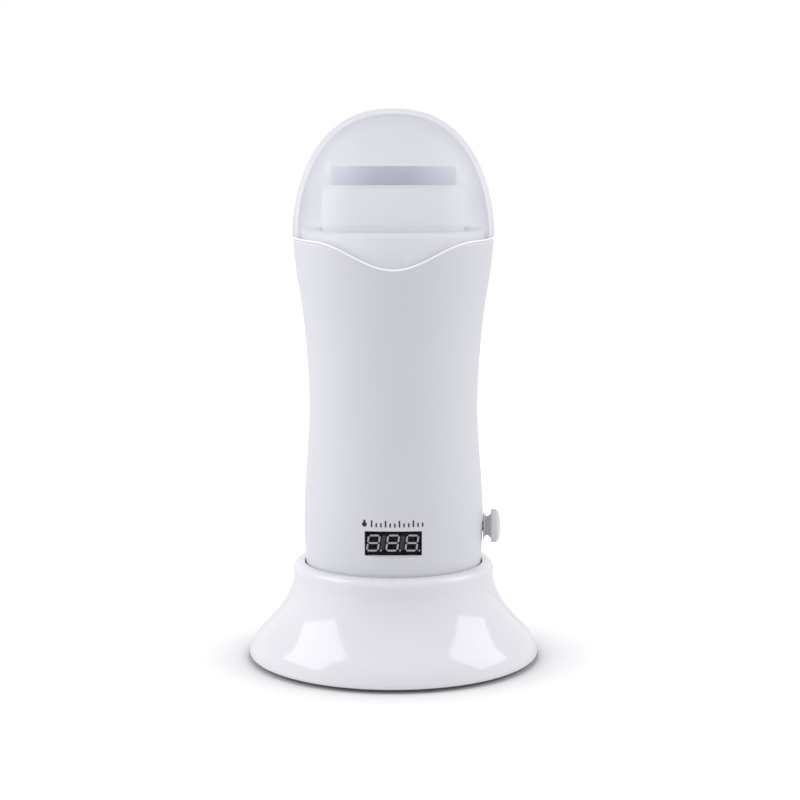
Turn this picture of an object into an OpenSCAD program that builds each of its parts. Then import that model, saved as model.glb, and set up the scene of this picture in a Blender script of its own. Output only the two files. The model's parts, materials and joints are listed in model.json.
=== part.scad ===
// Roll-on wax heater standing in its docking base.
// Millimetres, +Z up. The display faces -Y and the thermostat knob is at +X.
// The origin is on the table, under the middle of the base.
// Heights whose names end in _h are measured from the heater's own foot.
// Heights whose names end in _z are measured from the table.

/* [Heater body] */
// How far the body stands out beside the cartridge at the shoulder, where the cap meets it
shoulder_side = 11.65; // [11.3:0.05:13.6]
// The same halfway between the flare and the shoulder
chest_side = 10.25; // [9.9:0.05:11.1]
// The same where the body opens out above the grip
flare_side = 8.1; // [7.35:0.05:9.35]
// The same at the top of the grip
grip_side = 6.3; // [5.6:0.05:7.3]
// The same at the waist, the narrowest place
waist_side = 5.5; // [5.2:0.05:7.1]
// The same at the belly, level with the display
belly_side = 7.8; // [7.3:0.05:9.1]
// The same at the foot, inside the base
foot_side = 5.3; // [4.6:0.05:6.4]
// Depth of each section as a share of its width
depth_share = 0.88; // [0.87:0.01:0.94]
// Height of the shoulder
shoulder_h = 154.7; // [152:0.1:160]
// Height of the chest width
chest_h = 140.7; // [137:0.1:143]
// Height of the flare width
flare_h = 126.7; // [122:0.1:130]
// Height of the grip width
grip_h = 108.7; // [104:0.1:114]
// Height of the waist
waist_h = 82.7; // [76:0.1:90]
// Height of the belly width
belly_h = 41.7; // [36:0.1:48]
// Rounding of the foot's edge
foot_round = 2.5; // [1:0.1:3]
// Wall of the two shells
body_wall = 2.2; // [1.6:0.1:2.4]

/* [Cap] */
// Height of the dome above the shoulder
dome_h = 49.2; // [46:0.1:56]
// Fullness of the dome: 1 is an ellipse, lower is squarer
dome_fullness = 0.85; // [0.78:0.01:1]
// Wall of the cap
cap_wall = 2; // [1.4:0.1:2.6]
// Height of the parting line at the sides
parting_h = 153.9; // [152.5:0.1:154.2]
// Depth of the dip in the parting line
dip_depth = 9.7; // [4:0.1:11]
// Width of the dip
dip_w = 62; // [40:1:70]
// Width of the raised tab on the cap
tab_w = 7.4; // [5:0.1:12]
// Height of the raised tab
tab_tall = 2.8; // [2:0.1:4]
// How far the tab stands proud
tab_proud = 0.6; // [0.3:0.1:1.2]
// Height of the bead inside the cap that grips the collar
bead_tall = 1.3; // [0.8:0.1:2]

/* [Collar] */
// Height of the collar's flat top
collar_h = 157.2; // [156.4:0.1:160]
// Thickness of the collar's top
collar_top = 3; // [2:0.1:4]
// Wall of the collar's skirt
collar_wall = 1.8; // [1.2:0.1:2.4]
// Height of the shell ledge that the collar stands on
ledge_h = 141.7; // [141.2:0.1:143]
// Thickness of that ledge
ledge_t = 2; // [1.2:0.1:3]
// How far that ledge reaches in from the wall
ledge_reach = 3; // [2:0.1:3.4]
// Rounding of the collar's top edge
collar_round = 1.4; // [0.6:0.1:2]

/* [Wax cartridge] */
// Width of the cartridge
cart_w = 55.8; // [52:0.1:56]
// Width of the cartridge over its depth
cart_shape = 1.86; // [1.8:0.01:1.95]
// Corner radius of the cartridge
cart_round = 11; // [10:0.1:14]
// Height of the cartridge up to its ledge
cart_tall = 119.1; // [117:0.1:124]
// Wall of the cartridge
cart_wall = 1.3; // [0.8:0.1:1.6]
// Free height above the wax
wax_room = 27.1; // [20:0.1:80]
// How far the two posts stand in from the cartridge's sides
head_inset = 1.7; // [1.6:0.1:2.9]
// Thickness of each post above the ledge
post_t = 1.7; // [1.2:0.1:2.4]
// Depth of each post
post_d = 14; // [10:0.5:17]
// Height of the posts above the ledge
post_tall = 9.3; // [8:0.1:11]
// Height of the head's front and rear lips above the ledge
lip_tall = 1.2; // [0.6:0.1:2]
// How deep the head plugs into the cartridge
head_plug = 14; // [12.5:0.1:18]
// How far the roller stays inside the cartridge's front and back
roller_inset = 5.5; // [5:0.05:6.5]
// How far the roller's axis lies below the ledge
roller_drop = 1.5; // [0.5:0.1:2.5]
// Diameter of the roller's axle pins
axle_d = 3.2; // [2.4:0.1:4]
// How far each axle pin reaches into the head
axle_reach = 1.6; // [1:0.1:1.7]

/* [Cartridge well] */
// Height of the underside of the well's floor
well_floor_h = 52.9; // [52.8:0.1:55]
// Wall of the well
well_wall = 1.2; // [0.9:0.1:1.4]
// Thickness of the well's floor
well_bottom = 1.4; // [1:0.1:2.4]
// How far the well's top flange stands out
well_flange = 2; // [1:0.1:2.6]
// Thickness of that flange
well_flange_t = 1.6; // [1:0.1:2.4]

/* [Heating] */
// Width of the heating plate's face
plate_w = 27.6; // [22:0.2:28]
// Height of the heating plate's face
plate_tall = 69.6; // [60:0.2:72]
// Height of the plate's middle
plate_mid_h = 99.7; // [96:0.1:102]
// How far the plate's flange overlaps the well
plate_rim = 2.2; // [1.5:0.1:2.6]
// Thickness of the plate's flange
plate_t = 1.5; // [1:0.1:2]
// Width of the PTC heater
ptc_w = 22; // [16:0.5:23]
// Height of the PTC heater
ptc_tall = 30; // [22:0.5:32]
// Thickness of the PTC heater
ptc_t = 4; // [3:0.1:4.4]
// Thickness of the spring clamp
clamp_t = 0.9; // [0.6:0.1:1.2]
// Width of the spring clamp's strip
clamp_strip = 12; // [8:0.5:16]
// Diameter of the thermal fuse
fuse_d = 3.8; // [3:0.1:4.4]
// Length of the thermal fuse
fuse_l = 11; // [8:0.5:13]
// Diameter of the temperature sensor
sensor_d = 4.4; // [3:0.1:5]
// Length of the temperature sensor
sensor_l = 3.5; // [2.5:0.1:4.5]

/* [Display] */
// How far the display's middle and the knob's axis lie below the well's floor
control_drop = 14.9; // [14.7:0.1:15.3]
// Width of the display
display_w = 21.8; // [21.4:0.1:23]
// Height of the display
display_tall = 9.3; // [8.8:0.1:10]
// Distance from one digit to the next
digit_pitch = 7.5; // [7:0.1:7.6]
// Height of a digit
digit_tall = 6.8; // [6:0.1:7]
// Width of a digit
digit_w = 3.9; // [3.4:0.1:4.2]
// Width of a digit's stroke
stroke = 0.8; // [0.6:0.05:1]
// Lean of the digits in degrees
digit_lean = 8; // [0:1:12]
// How far the display's window lies behind the body's front
window_inset = 1.75; // [1.6:0.05:2]
// Thickness of the window
window_t = 0.5; // [0.4:0.1:0.8]

/* [Control board] */
// Width of the board
board_w = 33; // [30:0.5:34]
// Height of the board
board_tall = 30.5; // [28:0.5:31]
// Thickness of the board
board_t = 1.6; // [1.2:0.1:2]
// Distance from the body's front to the board's front face
board_inset = 9.4; // [9:0.1:10]
// Diameter of the posts that carry the board
board_post_d = 4.4; // [4:0.1:5]

/* [Thermostat knob] */
// Diameter of the knob's disc
knob_d = 13.5; // [12:0.1:15]
// Length of the knob from the body's wall to the top of its dome
knob_reach = 7; // [6.4:0.1:9]
// Thickness of the knob's disc at its edge
knob_edge = 1.3; // [0.8:0.1:2]
// Height of the dome on the disc
knob_dome = 2.2; // [1.6:0.1:2.6]
// Diameter of the knob's neck at its narrowest
knob_neck_d = 7.6; // [7:0.1:8.6]
// Diameter of the knob's foot next to the wall
knob_foot_d = 11; // [9:0.1:12]
// Diameter of the shaft
shaft_d = 4; // [3:0.1:4.6]
// Diameter of the potentiometer's body
pot_d = 14; // [12:0.1:14.6]
// Thickness of the potentiometer's body
pot_t = 7; // [5:0.1:8]
// Diameter of the potentiometer's bushing
bushing_d = 7; // [6:0.1:7.4]
// Thickness of the rib that carries the potentiometer
rib_t = 2; // [1.6:0.1:2.4]
// Gap between that rib and the body's wall at its thickest place
rib_gap = 2.9; // [2.7:0.1:3.2]
// Thickness of the potentiometer's nut
nut_t = 2; // [1.5:0.1:2.2]

/* [Connector] */
// Distance between the two pins
pin_pitch = 8.6; // [8:0.1:9]
// Diameter of a pin
pin_d = 2.4; // [2:0.1:2.6]
// Length of a pin inside its recess
pin_l = 9; // [8:0.1:9.4]
// Width of the connector's nose
nose_w = 13.8; // [13.4:0.1:14.4]
// Thickness of the connector's nose
nose_d = 7; // [6.4:0.1:7.2]
// Height of the nose above the dock's floor
nose_tall = 10.3; // [9.8:0.1:10.6]
// Depth of the recess that takes the nose
recess_l = 11.2; // [10.9:0.1:12]
// Wall round that recess
recess_wall = 1.8; // [1.4:0.1:1.9]
// Thickness of the wall behind that recess
recess_back = 2.4; // [1.8:0.1:2.5]

/* [Docking base] */
// How far the foot of the base stands out beyond its rim
base_out = 18; // [16:0.1:22]
// How far the top of the base's rounded edge lies inside its foot
base_edge_inset = 5.7; // [4:0.1:8]
// Height of that place above the table
base_edge_z = 12; // [11:0.1:14]
// Depth of the base as a share of its width
base_share = 0.95; // [0.94:0.01:1]
// How far the rim stands out beyond the heater's foot
rim_out = 6.8; // [6.6:0.1:8.3]
// Height of the rim above the table
rim_z = 39.6; // [38:0.1:42]
// Height at which the flare reaches the rim's width
flare_top_z = 34; // [32:0.1:35]
// How strongly the flare is swept: 1 is a straight cone
flare_sweep = 1.75; // [1.4:0.05:2]
// Rounding of the rim's outer edge
rim_round = 3; // [1.5:0.1:3.4]
// Rounding of the rim's inner edge
mouth_round = 1.2; // [0.5:0.1:1.6]
// Rounding of the lowest edge
lip_round = 1.5; // [0.8:0.1:2]
// Wall of the base
base_wall = 2.4; // [1.8:0.1:2.8]
// Height of the dock's floor above the table
dock_floor_z = 15; // [14.6:0.1:16]
// Wall of the dock
dock_wall = 2; // [1.4:0.1:2.4]
// Thickness of the bottom plate
bottom_t = 1.8; // [1.4:0.1:2]
// How far the bottom plate lies inside the lowest edge
bottom_inset = 0.4; // [0.2:0.1:0.6]

/* [Mains inlet] */
// Gap between the dock's cup and the back of the inlet
inlet_space = 0.132; // [0.05:0.002:0.4]
// Height of the inlet's middle above the table
inlet_z = 9.6; // [9.5:0.1:9.8]
// Width of the notch in front of the inlet
notch_w = 21; // [20:0.1:24]
// Wall round the notch
notch_wall = 1.6; // [1.2:0.1:2]

/* [Feet and screws] */
// Diameter of a rubber foot
foot_d = 10; // [8:0.1:11]
// How far the feet lift the base off the table
foot_lift = 1.2; // [0.8:0.1:1.6]
// Depth of the pockets that hold the feet
foot_pocket = 0.6; // [0.4:0.1:0.8]
// Distance from the base's edge to a foot's middle
foot_inset = 11; // [10:0.1:13]
// Angle of the feet from the X axis
foot_angle = 34; // [28:1:38]
// Distance from the base's edge to a bottom screw
base_screw_inset = 13; // [12.5:0.1:15]
// Angle of the bottom screws from the X axis
base_screw_angle = 62; // [58:1:64]
// Diameter of a screw's shank
screw_d = 2.2; // [2:0.1:2.6]
// Diameter of a screw's head
screw_head_d = 4.6; // [4.2:0.1:4.8]
// Height of a screw's head
screw_head_t = 1.6; // [1.2:0.1:1.7]
// Diameter of the bosses for the shell screws
boss_d = 7; // [6.8:0.1:7.2]
// Distance of the shell screws from the middle plane
boss_x = 21; // [20.5:0.1:22]
// Height of the lower shell screws
boss_low_h = 12.5; // [11:0.1:13]
// How far the upper shell screws lie below the well's floor
boss_drop = 3.9; // [3.6:0.1:4]
// Depth of the seat of a shell screw's head behind the seam
boss_seat_y = 12; // [10:0.5:14]

/* [Clearances] */
// Gap between the cap's edge and the body's edge
parting_gap = 0.35; // [0.3:0.05:0.5]
// Gap between the heater and the dock's wall
dock_gap = 0.9; // [0.6:0.1:1.2]
// Gap under a piece that stands on another body
seat_gap = 0.3; // [0.2:0.05:0.4]
// Gap between the cartridge and its well
cart_gap = 0.4; // [0.3:0.05:0.5]
// Gap between pieces that are fitted together for good
fit_gap = 0.2; // [0.1:0.05:0.3]
// Radial gap of a pin or shaft that turns or slides
run_gap = 0.06; // [0.04:0.01:0.09]

/* [Hidden] */
$fn = 96;

outline_steps = 4;    // straight pieces between two of the body's widths
dome_steps = 16;
wave_steps = 12;      // on each side of the dip
flare_steps = 10;
edge_steps = 5;       // along the base's rounded edge
far = 400;            // longer than anything here
heater_z = dock_floor_z + seat_gap;
shell_gap = 0.02;     // keeps two solids of one assembly from sharing a curved face
weld = 0.1;           // how far a lead's end stays clear of what it is soldered to
base_side_lean = 0.4; // how much the base's side leans in before its edge rounds over

white = [0.93, 0.93, 0.94];
warm_white = [0.88, 0.88, 0.9];
frosted = [0.84, 0.85, 0.9, 0.55];
steel = [0.72, 0.73, 0.75];
brass = [0.8, 0.66, 0.36];
copper_red = [0.7, 0.22, 0.18];
black = [0.08, 0.08, 0.09];
board_green = [0.1, 0.36, 0.22];
wax_blue = [0.42, 0.5, 0.66];
roller_grey = [0.66, 0.68, 0.74];

// ---- curves ----

function catmull(a, b, c, d, t) =
  0.5 * (2 * b + (c - a) * t + (2 * a - 5 * b + 4 * c - d) * t * t
         + (3 * b - a - 3 * c + d) * t * t * t);

// A smooth line through the stations, each a [radius, height].
function smooth(s, steps) = concat(
  [for (i = [0 : len(s) - 2], k = [0 : steps - 1])
    catmull(s[max(i - 1, 0)], s[i], s[i + 1], s[min(i + 2, len(s) - 1)], k / steps)],
  [s[len(s) - 1]]);

function bezier(a, b, c, t) = (1 - t) * (1 - t) * a + 2 * t * (1 - t) * b + t * t * c;

function arc(middle, r, from, to, steps) =
  [for (k = [0 : steps]) let (a = from + (to - from) * k / steps) middle + r * [cos(a), sin(a)]];

cart_d = cart_w / cart_shape;
wax_tall = cart_tall - wax_room;
roller_d = cart_d - 2 * roller_inset;
control_h = well_floor_h - control_drop;

foot_w = cart_w + 2 * foot_side;
belly_w = cart_w + 2 * belly_side;
waist_w = cart_w + 2 * waist_side;
grip_w = cart_w + 2 * grip_side;
flare_w = cart_w + 2 * flare_side;
chest_w = cart_w + 2 * chest_side;
shoulder_w = cart_w + 2 * shoulder_side;

body_line = smooth([
  [foot_w / 2, 0], [belly_w / 2, belly_h], [waist_w / 2, waist_h], [grip_w / 2, grip_h],
  [flare_w / 2, flare_h], [chest_w / 2, chest_h], [shoulder_w / 2, shoulder_h]], outline_steps);

// The body's outer radius at a height above its foot.
function body_r(h) = lookup(h, [for (p = body_line) [p[1], p[0]]]);

// The body's front or rear surface, or the cavity's with an inset, at x and a height.
function body_y(x, h, inset = 0) = depth_share * sqrt(pow(body_r(h) - inset, 2) - x * x);

function dome_line(inset) = [for (k = [0 : dome_steps]) let (a = 90 * k / dome_steps)
  [k == dome_steps ? 0 : (shoulder_w / 2 - inset) * pow(cos(a), dome_fullness),
   shoulder_h + (dome_h - inset) * sin(a)]];

rim_w = foot_w + 2 * rim_out;
base_w = rim_w + 2 * base_out;
base_edge_w = base_w - 2 * base_edge_inset;
base_edge_point = [base_edge_w / 2, base_edge_z];
flare_slope = (base_edge_w - rim_w) / 2 * flare_sweep / (flare_top_z - base_edge_z);
base_side_point = [base_w / 2, foot_lift + lip_round];
base_bend_r = base_w / 2 - base_side_lean;
base_bend_point = [base_bend_r, base_edge_z - (base_bend_r - base_edge_w / 2) / flare_slope];

// The base's outer line, from the lowest edge to the rim.
base_line = concat(
  arc([base_w / 2 - lip_round, foot_lift + lip_round], lip_round, -90, 0, 3),
  [for (k = [1 : edge_steps - 1])
    bezier(base_side_point, base_bend_point, base_edge_point, k / edge_steps)],
  [for (k = [0 : flare_steps]) let (t = k / flare_steps)
    [rim_w / 2 + (base_edge_w - rim_w) / 2 * pow(1 - t, flare_sweep),
     base_edge_z + t * (flare_top_z - base_edge_z)]],
  arc([rim_w / 2 - rim_round, rim_z - rim_round], rim_round, 0, 90, 5));

// ---- shared shapes ----

// A solid of revolution whose depth is a share of its width, made of two half turns.
module oval(share) {
  for (turn = [0, 180])
    scale([1, share, 1]) rotate([0, 0, turn]) rotate_extrude(angle = 180) children();
}

// A rectangle with round corners, w by d.
module round_rect(w, d, r) {
  square([w - 2 * r, d], center = true);
  square([w, d - 2 * r], center = true);
  for (x = [-1, 1], y = [-1, 1])
    translate([x * (w / 2 - r), y * (d / 2 - r)]) circle(r = r);
}

// The outline of a two-pin connector.
module stadium(w, d) {
  square([w - d, d], center = true);
  for (x = [-1, 1]) translate([x * (w - d) / 2, 0]) circle(d = d);
}

// Puts children upright, with their flat drawing in the XZ plane, facing -Y.
module upright() { rotate([90, 0, 0]) children(); }

// Puts a solid drawn along +Z so that it runs along +X.
module along_x() { rotate([0, 90, 0]) children(); }

// Puts a solid drawn along +Z so that it runs along +Y.
module along_y() { rotate([-90, 0, 0]) children(); }

// Everything of the heater is drawn above its own foot.
module at_heater() { translate([0, 0, heater_z]) children(); }

// The space above the wavy parting line, moved up by shift.
module above_parting(shift) {
  wave = [for (k = [-wave_steps : wave_steps])
    [dip_w / 2 * k / wave_steps, parting_h + shift - dip_depth * (1 + cos(180 * k / wave_steps)) / 2]];
  upright() linear_extrude(far, center = true)
    polygon(concat([[-far, far], [-far, parting_h + shift]], wave, [[far, parting_h + shift], [far, far]]));
}

module body_block() {
  middle = [body_r(foot_round) - foot_round, foot_round];
  oval(depth_share) polygon(concat([[0, 0]], arc(middle, foot_round, -90, 0, 4),
    [for (p = body_line) if (p[1] > foot_round + 0.5) p], [[0, shoulder_h]]));
}

module body_cavity(inset) {
  oval(depth_share) polygon(concat([[0, inset], [body_r(inset) - inset, inset]],
    [for (p = body_line) if (p[1] > inset + 0.5) [p[0] - inset, p[1]]],
    [[shoulder_w / 2 - inset, shoulder_h + 1], [0, shoulder_h + 1]]));
}

// A screw standing on its point, its head's underside at z = 0.
module screw(length) {
  translate([0, 0, -length]) cylinder(d = screw_d, h = length);
  difference() {
    cylinder(d = screw_head_d, h = screw_head_t);
    for (turn = [0, 90]) rotate([0, 0, turn])
      translate([0, 0, screw_head_t]) cube([screw_head_d * 0.6, 0.6, 1.2], center = true);
  }
}

// ---- round leads swept along points ----

function unit(v) = v / norm(v);
function lead_dir(p, i) = unit(p[min(i + 1, len(p) - 1)] - p[max(i - 1, 0)]);
function lead_ring(c, d, r, sides) = let (
    side = unit(cross(d, abs(d[2]) > 0.9 ? [0, 1, 0] : [0, 0, 1])), up = cross(side, d))
  [for (k = [0 : sides - 1]) c + r * (cos(360 * k / sides) * side + sin(360 * k / sides) * up)];

// A lead of radius r along a smooth line through hand-set points.
module lead(stations, r) {
  sides = 8;
  p = smooth(stations, 3);
  n = len(p);
  rings = [for (i = [0 : n - 1]) each lead_ring(p[i], lead_dir(p, i), r, sides)];
  polyhedron(rings, concat(
    [[for (k = [0 : sides - 1]) sides - 1 - k]],
    [for (i = [0 : n - 2], k = [0 : sides - 1]) let (j = (k + 1) % sides)
      each [[i * sides + k, i * sides + j, (i + 1) * sides + j],
            [i * sides + k, (i + 1) * sides + j, (i + 1) * sides + k]]],
    [[for (k = [0 : sides - 1]) (n - 1) * sides + k]]));
}

// ---- docking base ----

module base_block() {
  oval(base_share) polygon(concat([[0, foot_lift]], base_line, [[0, rim_z]]));
}

// The inside of the flared wall, open below.
module base_cavity() {
  side_z = base_side_point[1];
  roof_z = rim_z - rim_round - base_wall;
  oval(base_share) polygon(concat(
    [[0, 0], [base_w / 2 - base_wall, 0], [base_w / 2 - base_wall, bottom_top_z]],
    [for (p = base_line) if (p[1] > bottom_top_z + 1 && p[1] <= flare_top_z)
      [p[0] - base_wall, p[1] - base_wall * (p[1] - side_z) / (flare_top_z - side_z)]],
    [[rim_w / 2 - base_wall, roof_z], [0, roof_z]]));
}

dock_line = [for (p = body_line) if (p[1] > foot_round && p[1] + heater_z < rim_z - mouth_round) p];
dock_mouth = [body_r(rim_z - heater_z) + dock_gap, rim_z];

// The dock's pocket, which follows the heater's foot; grow makes the cup round it.
module dock_pocket(grow) {
  floor_r = body_r(0) + dock_gap + grow;
  oval(depth_share) polygon(concat(
    [[0, dock_floor_z], [floor_r, dock_floor_z]],
    [for (p = dock_line) [p[0] + dock_gap + grow, p[1] + heater_z]],
    grow > 0 ? [[dock_mouth[0] + grow, rim_z - 1]]
      : [for (a = [0 : 30 : 90]) dock_mouth + [mouth_round * (1 - cos(a)), -mouth_round * (1 - sin(a))]],
    grow > 0 ? [[0, rim_z - 1]] : [[dock_mouth[0] + mouth_round, rim_z + 1], [0, rim_z + 1]]));
}

// Places children at the four points of a ring round the base, at an inset from its edge.
module base_corners(inset, angle) {
  r = base_w / 2 - inset;
  for (x = [-1, 1], y = [-1, 1])
    translate([x * r * cos(angle), y * r * base_share * sin(angle), 0]) children();
}

bottom_z = foot_lift + bottom_inset;         // underside of the bottom plate
bottom_top_z = bottom_z + bottom_t;
inlet_w = nose_w + 2 * cart_gap + 2 * recess_wall;
inlet_d = nose_d + 2 * cart_gap + 2 * recess_wall;
inlet_l = recess_l + recess_back;
inlet_y = (body_r(0) + dock_gap + dock_wall) * depth_share + inlet_space + inlet_l;   // its face
notch_floor_z = bottom_top_z + notch_wall;
notch_top_z = inlet_z + inlet_d / 2 + notch_wall;
base_boss_top_z = base_edge_z;
plug_flange_t = 2;
plug_flange = 3.5;                            // how far the connector's flange stands out

module base_shell() {
  color(white) difference() {
    union() {
      difference() { base_block(); base_cavity(); }
      intersection() {
        base_block();
        union() {
          difference() {
            translate([0, 0, -dock_wall]) dock_pocket(dock_wall);
            translate([0, 0, -far / 2 + dock_floor_z - 2 * dock_wall])
              cube([far, far, far], center = true);
          }
          base_corners(base_screw_inset, base_screw_angle)
            translate([0, 0, bottom_top_z]) cylinder(d = boss_d, h = base_boss_top_z - bottom_top_z + 3);
          translate([-notch_w / 2 - notch_wall, inlet_y - notch_wall, bottom_top_z])
            cube([notch_w + 2 * notch_wall, far, notch_top_z - bottom_top_z]);
        }
      }
    }
    dock_pocket(0);
    base_corners(base_screw_inset, base_screw_angle)
      translate([0, 0, bottom_top_z - 1]) cylinder(d = screw_d, h = base_boss_top_z - bottom_top_z);
    translate([0, 0, dock_floor_z - far / 2]) linear_extrude(far)
      stadium(nose_w + 2 * fit_gap, nose_d + 2 * fit_gap);
    translate([-notch_w / 2, inlet_y, notch_floor_z]) cube([notch_w, far, far]);
    translate([-inlet_w / 2 - fit_gap, inlet_y - inlet_l, 0])
      cube([inlet_w + 2 * fit_gap, inlet_l + 1, inlet_z + inlet_d / 2 + fit_gap]);
  }
}

module base_bottom_plate() {
  color(warm_white) difference() {
    oval(base_share) translate([0, bottom_z]) square([base_w / 2 - base_wall - fit_gap, bottom_t]);
    base_corners(foot_inset, foot_angle)
      translate([0, 0, bottom_z - 1]) cylinder(d = foot_d + 2 * fit_gap, h = 1 + foot_pocket);
    base_corners(base_screw_inset, base_screw_angle) {
      translate([0, 0, bottom_z - 1]) cylinder(d = screw_d + 2 * fit_gap, h = 2 * bottom_t);
      translate([0, 0, bottom_z - 1]) cylinder(d = screw_head_d + 2 * fit_gap, h = 1 + bottom_t / 2);
    }
  }
}

module rubber_feet() {
  color(black) base_corners(foot_inset, foot_angle) rotate_extrude()
    polygon([[0, 0], [foot_d / 2 - 0.6, 0], [foot_d / 2, 0.6],
             [foot_d / 2, bottom_z + foot_pocket], [0, bottom_z + foot_pocket]]);
}

module base_screws() {
  seat_z = bottom_z + bottom_t / 2;
  head_t = bottom_t / 2 - weld;                 // a low head, flush with the plate
  color(steel) base_corners(base_screw_inset, base_screw_angle)
    translate([0, 0, seat_z]) mirror([0, 0, 1]) intersection() {
      screw(base_boss_top_z - seat_z - 1.2);
      translate([0, 0, -far + head_t]) cylinder(d = far, h = far);
    }
}

// A two-pin inlet's housing. Its mouth is at z = 0 and it reaches up.
module inlet_housing() {
  difference() {
    translate([-inlet_w / 2, -inlet_d / 2, 0]) cube([inlet_w, inlet_d, inlet_l]);
    translate([0, 0, -1]) linear_extrude(1 + recess_l)
      stadium(nose_w + 2 * cart_gap, nose_d + 2 * cart_gap);
    for (x = [-1, 1]) translate([x * pin_pitch / 2, 0, 0]) cylinder(d = pin_root_d, h = far);
  }
}

// Its pins. A thicker root is held by the wall behind the recess, and a tail takes the lead.
pin_root_d = pin_d + 0.6;
pin_root_out = 0.6;                           // how far the root stands out of the recess's floor
pin_tail = 2.5;
pin_tail_d = 1.6;

module inlet_pins() {
  for (x = [-1, 1]) translate([x * pin_pitch / 2, 0, 0]) {
    translate([0, 0, recess_l - pin_l]) cylinder(d = pin_d, h = pin_l);
    translate([0, 0, recess_l - pin_root_out]) cylinder(d = pin_root_d, h = pin_root_out + recess_back);
    translate([0, 0, inlet_l - 1]) cylinder(d = pin_tail_d, h = 1 + pin_tail);
  }
}

// The mains inlet looks out of the notch along +Y.
module at_mains_inlet() { translate([0, inlet_y, inlet_z]) upright() children(); }

mains_ear = 1.5;                              // ears that hold the inlet against the notch's wall
mains_ear_w = 5.4;

module mains_inlet() {
  color(black) at_mains_inlet() {
    inlet_housing();
    difference() {
      translate([-inlet_w / 2 - mains_ear, -mains_ear_w / 2, notch_wall + fit_gap])
        cube([inlet_w + 2 * mains_ear, mains_ear_w, mains_ear]);
      translate([-inlet_w / 2 + 1, -inlet_d / 2, 0]) cube([inlet_w - 2, inlet_d, inlet_l]);
    }
  }
}

module mains_pins() { color(steel) at_mains_inlet() inlet_pins(); }

contact_wall = 0.6;
contact_d = pin_d + 2 * run_gap + 2 * contact_wall;
contact_l = nose_tall - contact_wall;
lug_d = 1.8;
lug_l = 2;
connector_low_z = dock_floor_z - dock_wall - plug_flange_t;

module dock_connector() {
  color(black) difference() {
    union() {
      translate([0, 0, connector_low_z]) linear_extrude(dock_floor_z + nose_tall - connector_low_z)
        stadium(nose_w, nose_d);
      translate([0, 0, connector_low_z]) linear_extrude(plug_flange_t)
        stadium(nose_w + 2 * plug_flange, nose_d + 2 * plug_flange);
    }
    for (x = [-1, 1]) translate([x * pin_pitch / 2, 0, 0]) {
      cylinder(d = lug_d, h = far);
      translate([0, 0, dock_floor_z + nose_tall - contact_l]) cylinder(d = contact_d, h = far);
    }
  }
}

module dock_contacts() {
  color(brass) for (x = [-1, 1]) translate([x * pin_pitch / 2, 0, 0]) {
    difference() {
      translate([0, 0, dock_floor_z + nose_tall - contact_l]) cylinder(d = contact_d, h = contact_l - 0.2);
      translate([0, 0, dock_floor_z + nose_tall - contact_l + 0.4])
        cylinder(d = pin_d + 2 * run_gap, h = contact_l);
    }
    translate([0, 0, connector_low_z - lug_l])
      cylinder(d = lug_d, h = dock_floor_z + nose_tall - contact_l - connector_low_z + lug_l);
  }
}

module base_leads() {
  r = 0.8;
  inlet_end = [pin_pitch / 2, inlet_y - inlet_l - pin_tail - weld, inlet_z];
  plug_end = [pin_pitch / 2, 0, connector_low_z - lug_l - weld];
  color(copper_red) for (side = [-1, 1]) lead([
    [side * inlet_end[0], inlet_end[1], inlet_end[2]],
    [side * inlet_end[0], inlet_end[1] - 4, inlet_end[2] - 0.5],
    [side * (inlet_end[0] + 2), inlet_end[1] - 10, bottom_top_z + 4],
    [side * (inlet_end[0] + 2), 10, bottom_top_z + 2],
    [side * (plug_end[0] + 0.6), 3, bottom_top_z + 1.6],
    [side * plug_end[0], 0.2, plug_end[2] - 2],
    [side * plug_end[0], plug_end[1], plug_end[2]]], r);
}

// ---- heater body ----

display_y = -body_y(0, control_h) + window_inset;          // front face of the window
board_y = -body_y(0, control_h) + board_inset;             // front face of the board
board_low_h = well_floor_h - 2.7 - board_tall;
rib_x = body_r(control_h) - body_wall - rib_gap;           // outer face of the potentiometer's rib
rest_t = 2;                                                // ribs that the cartridge well stands on
rest_w = 16;
rest_y = 12;
boss_high_h = well_floor_h - boss_drop;

module board_corners() {
  for (x = [-1, 1], h = [board_low_h + 3.5, board_low_h + board_tall - 3.5])
    translate([x * (board_w / 2 - 3.2), 0, h]) children();
}

module boss_corners() {
  for (x = [-1, 1], h = [boss_low_h, boss_high_h]) translate([x * boss_x, 0, h]) children();
}

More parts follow.
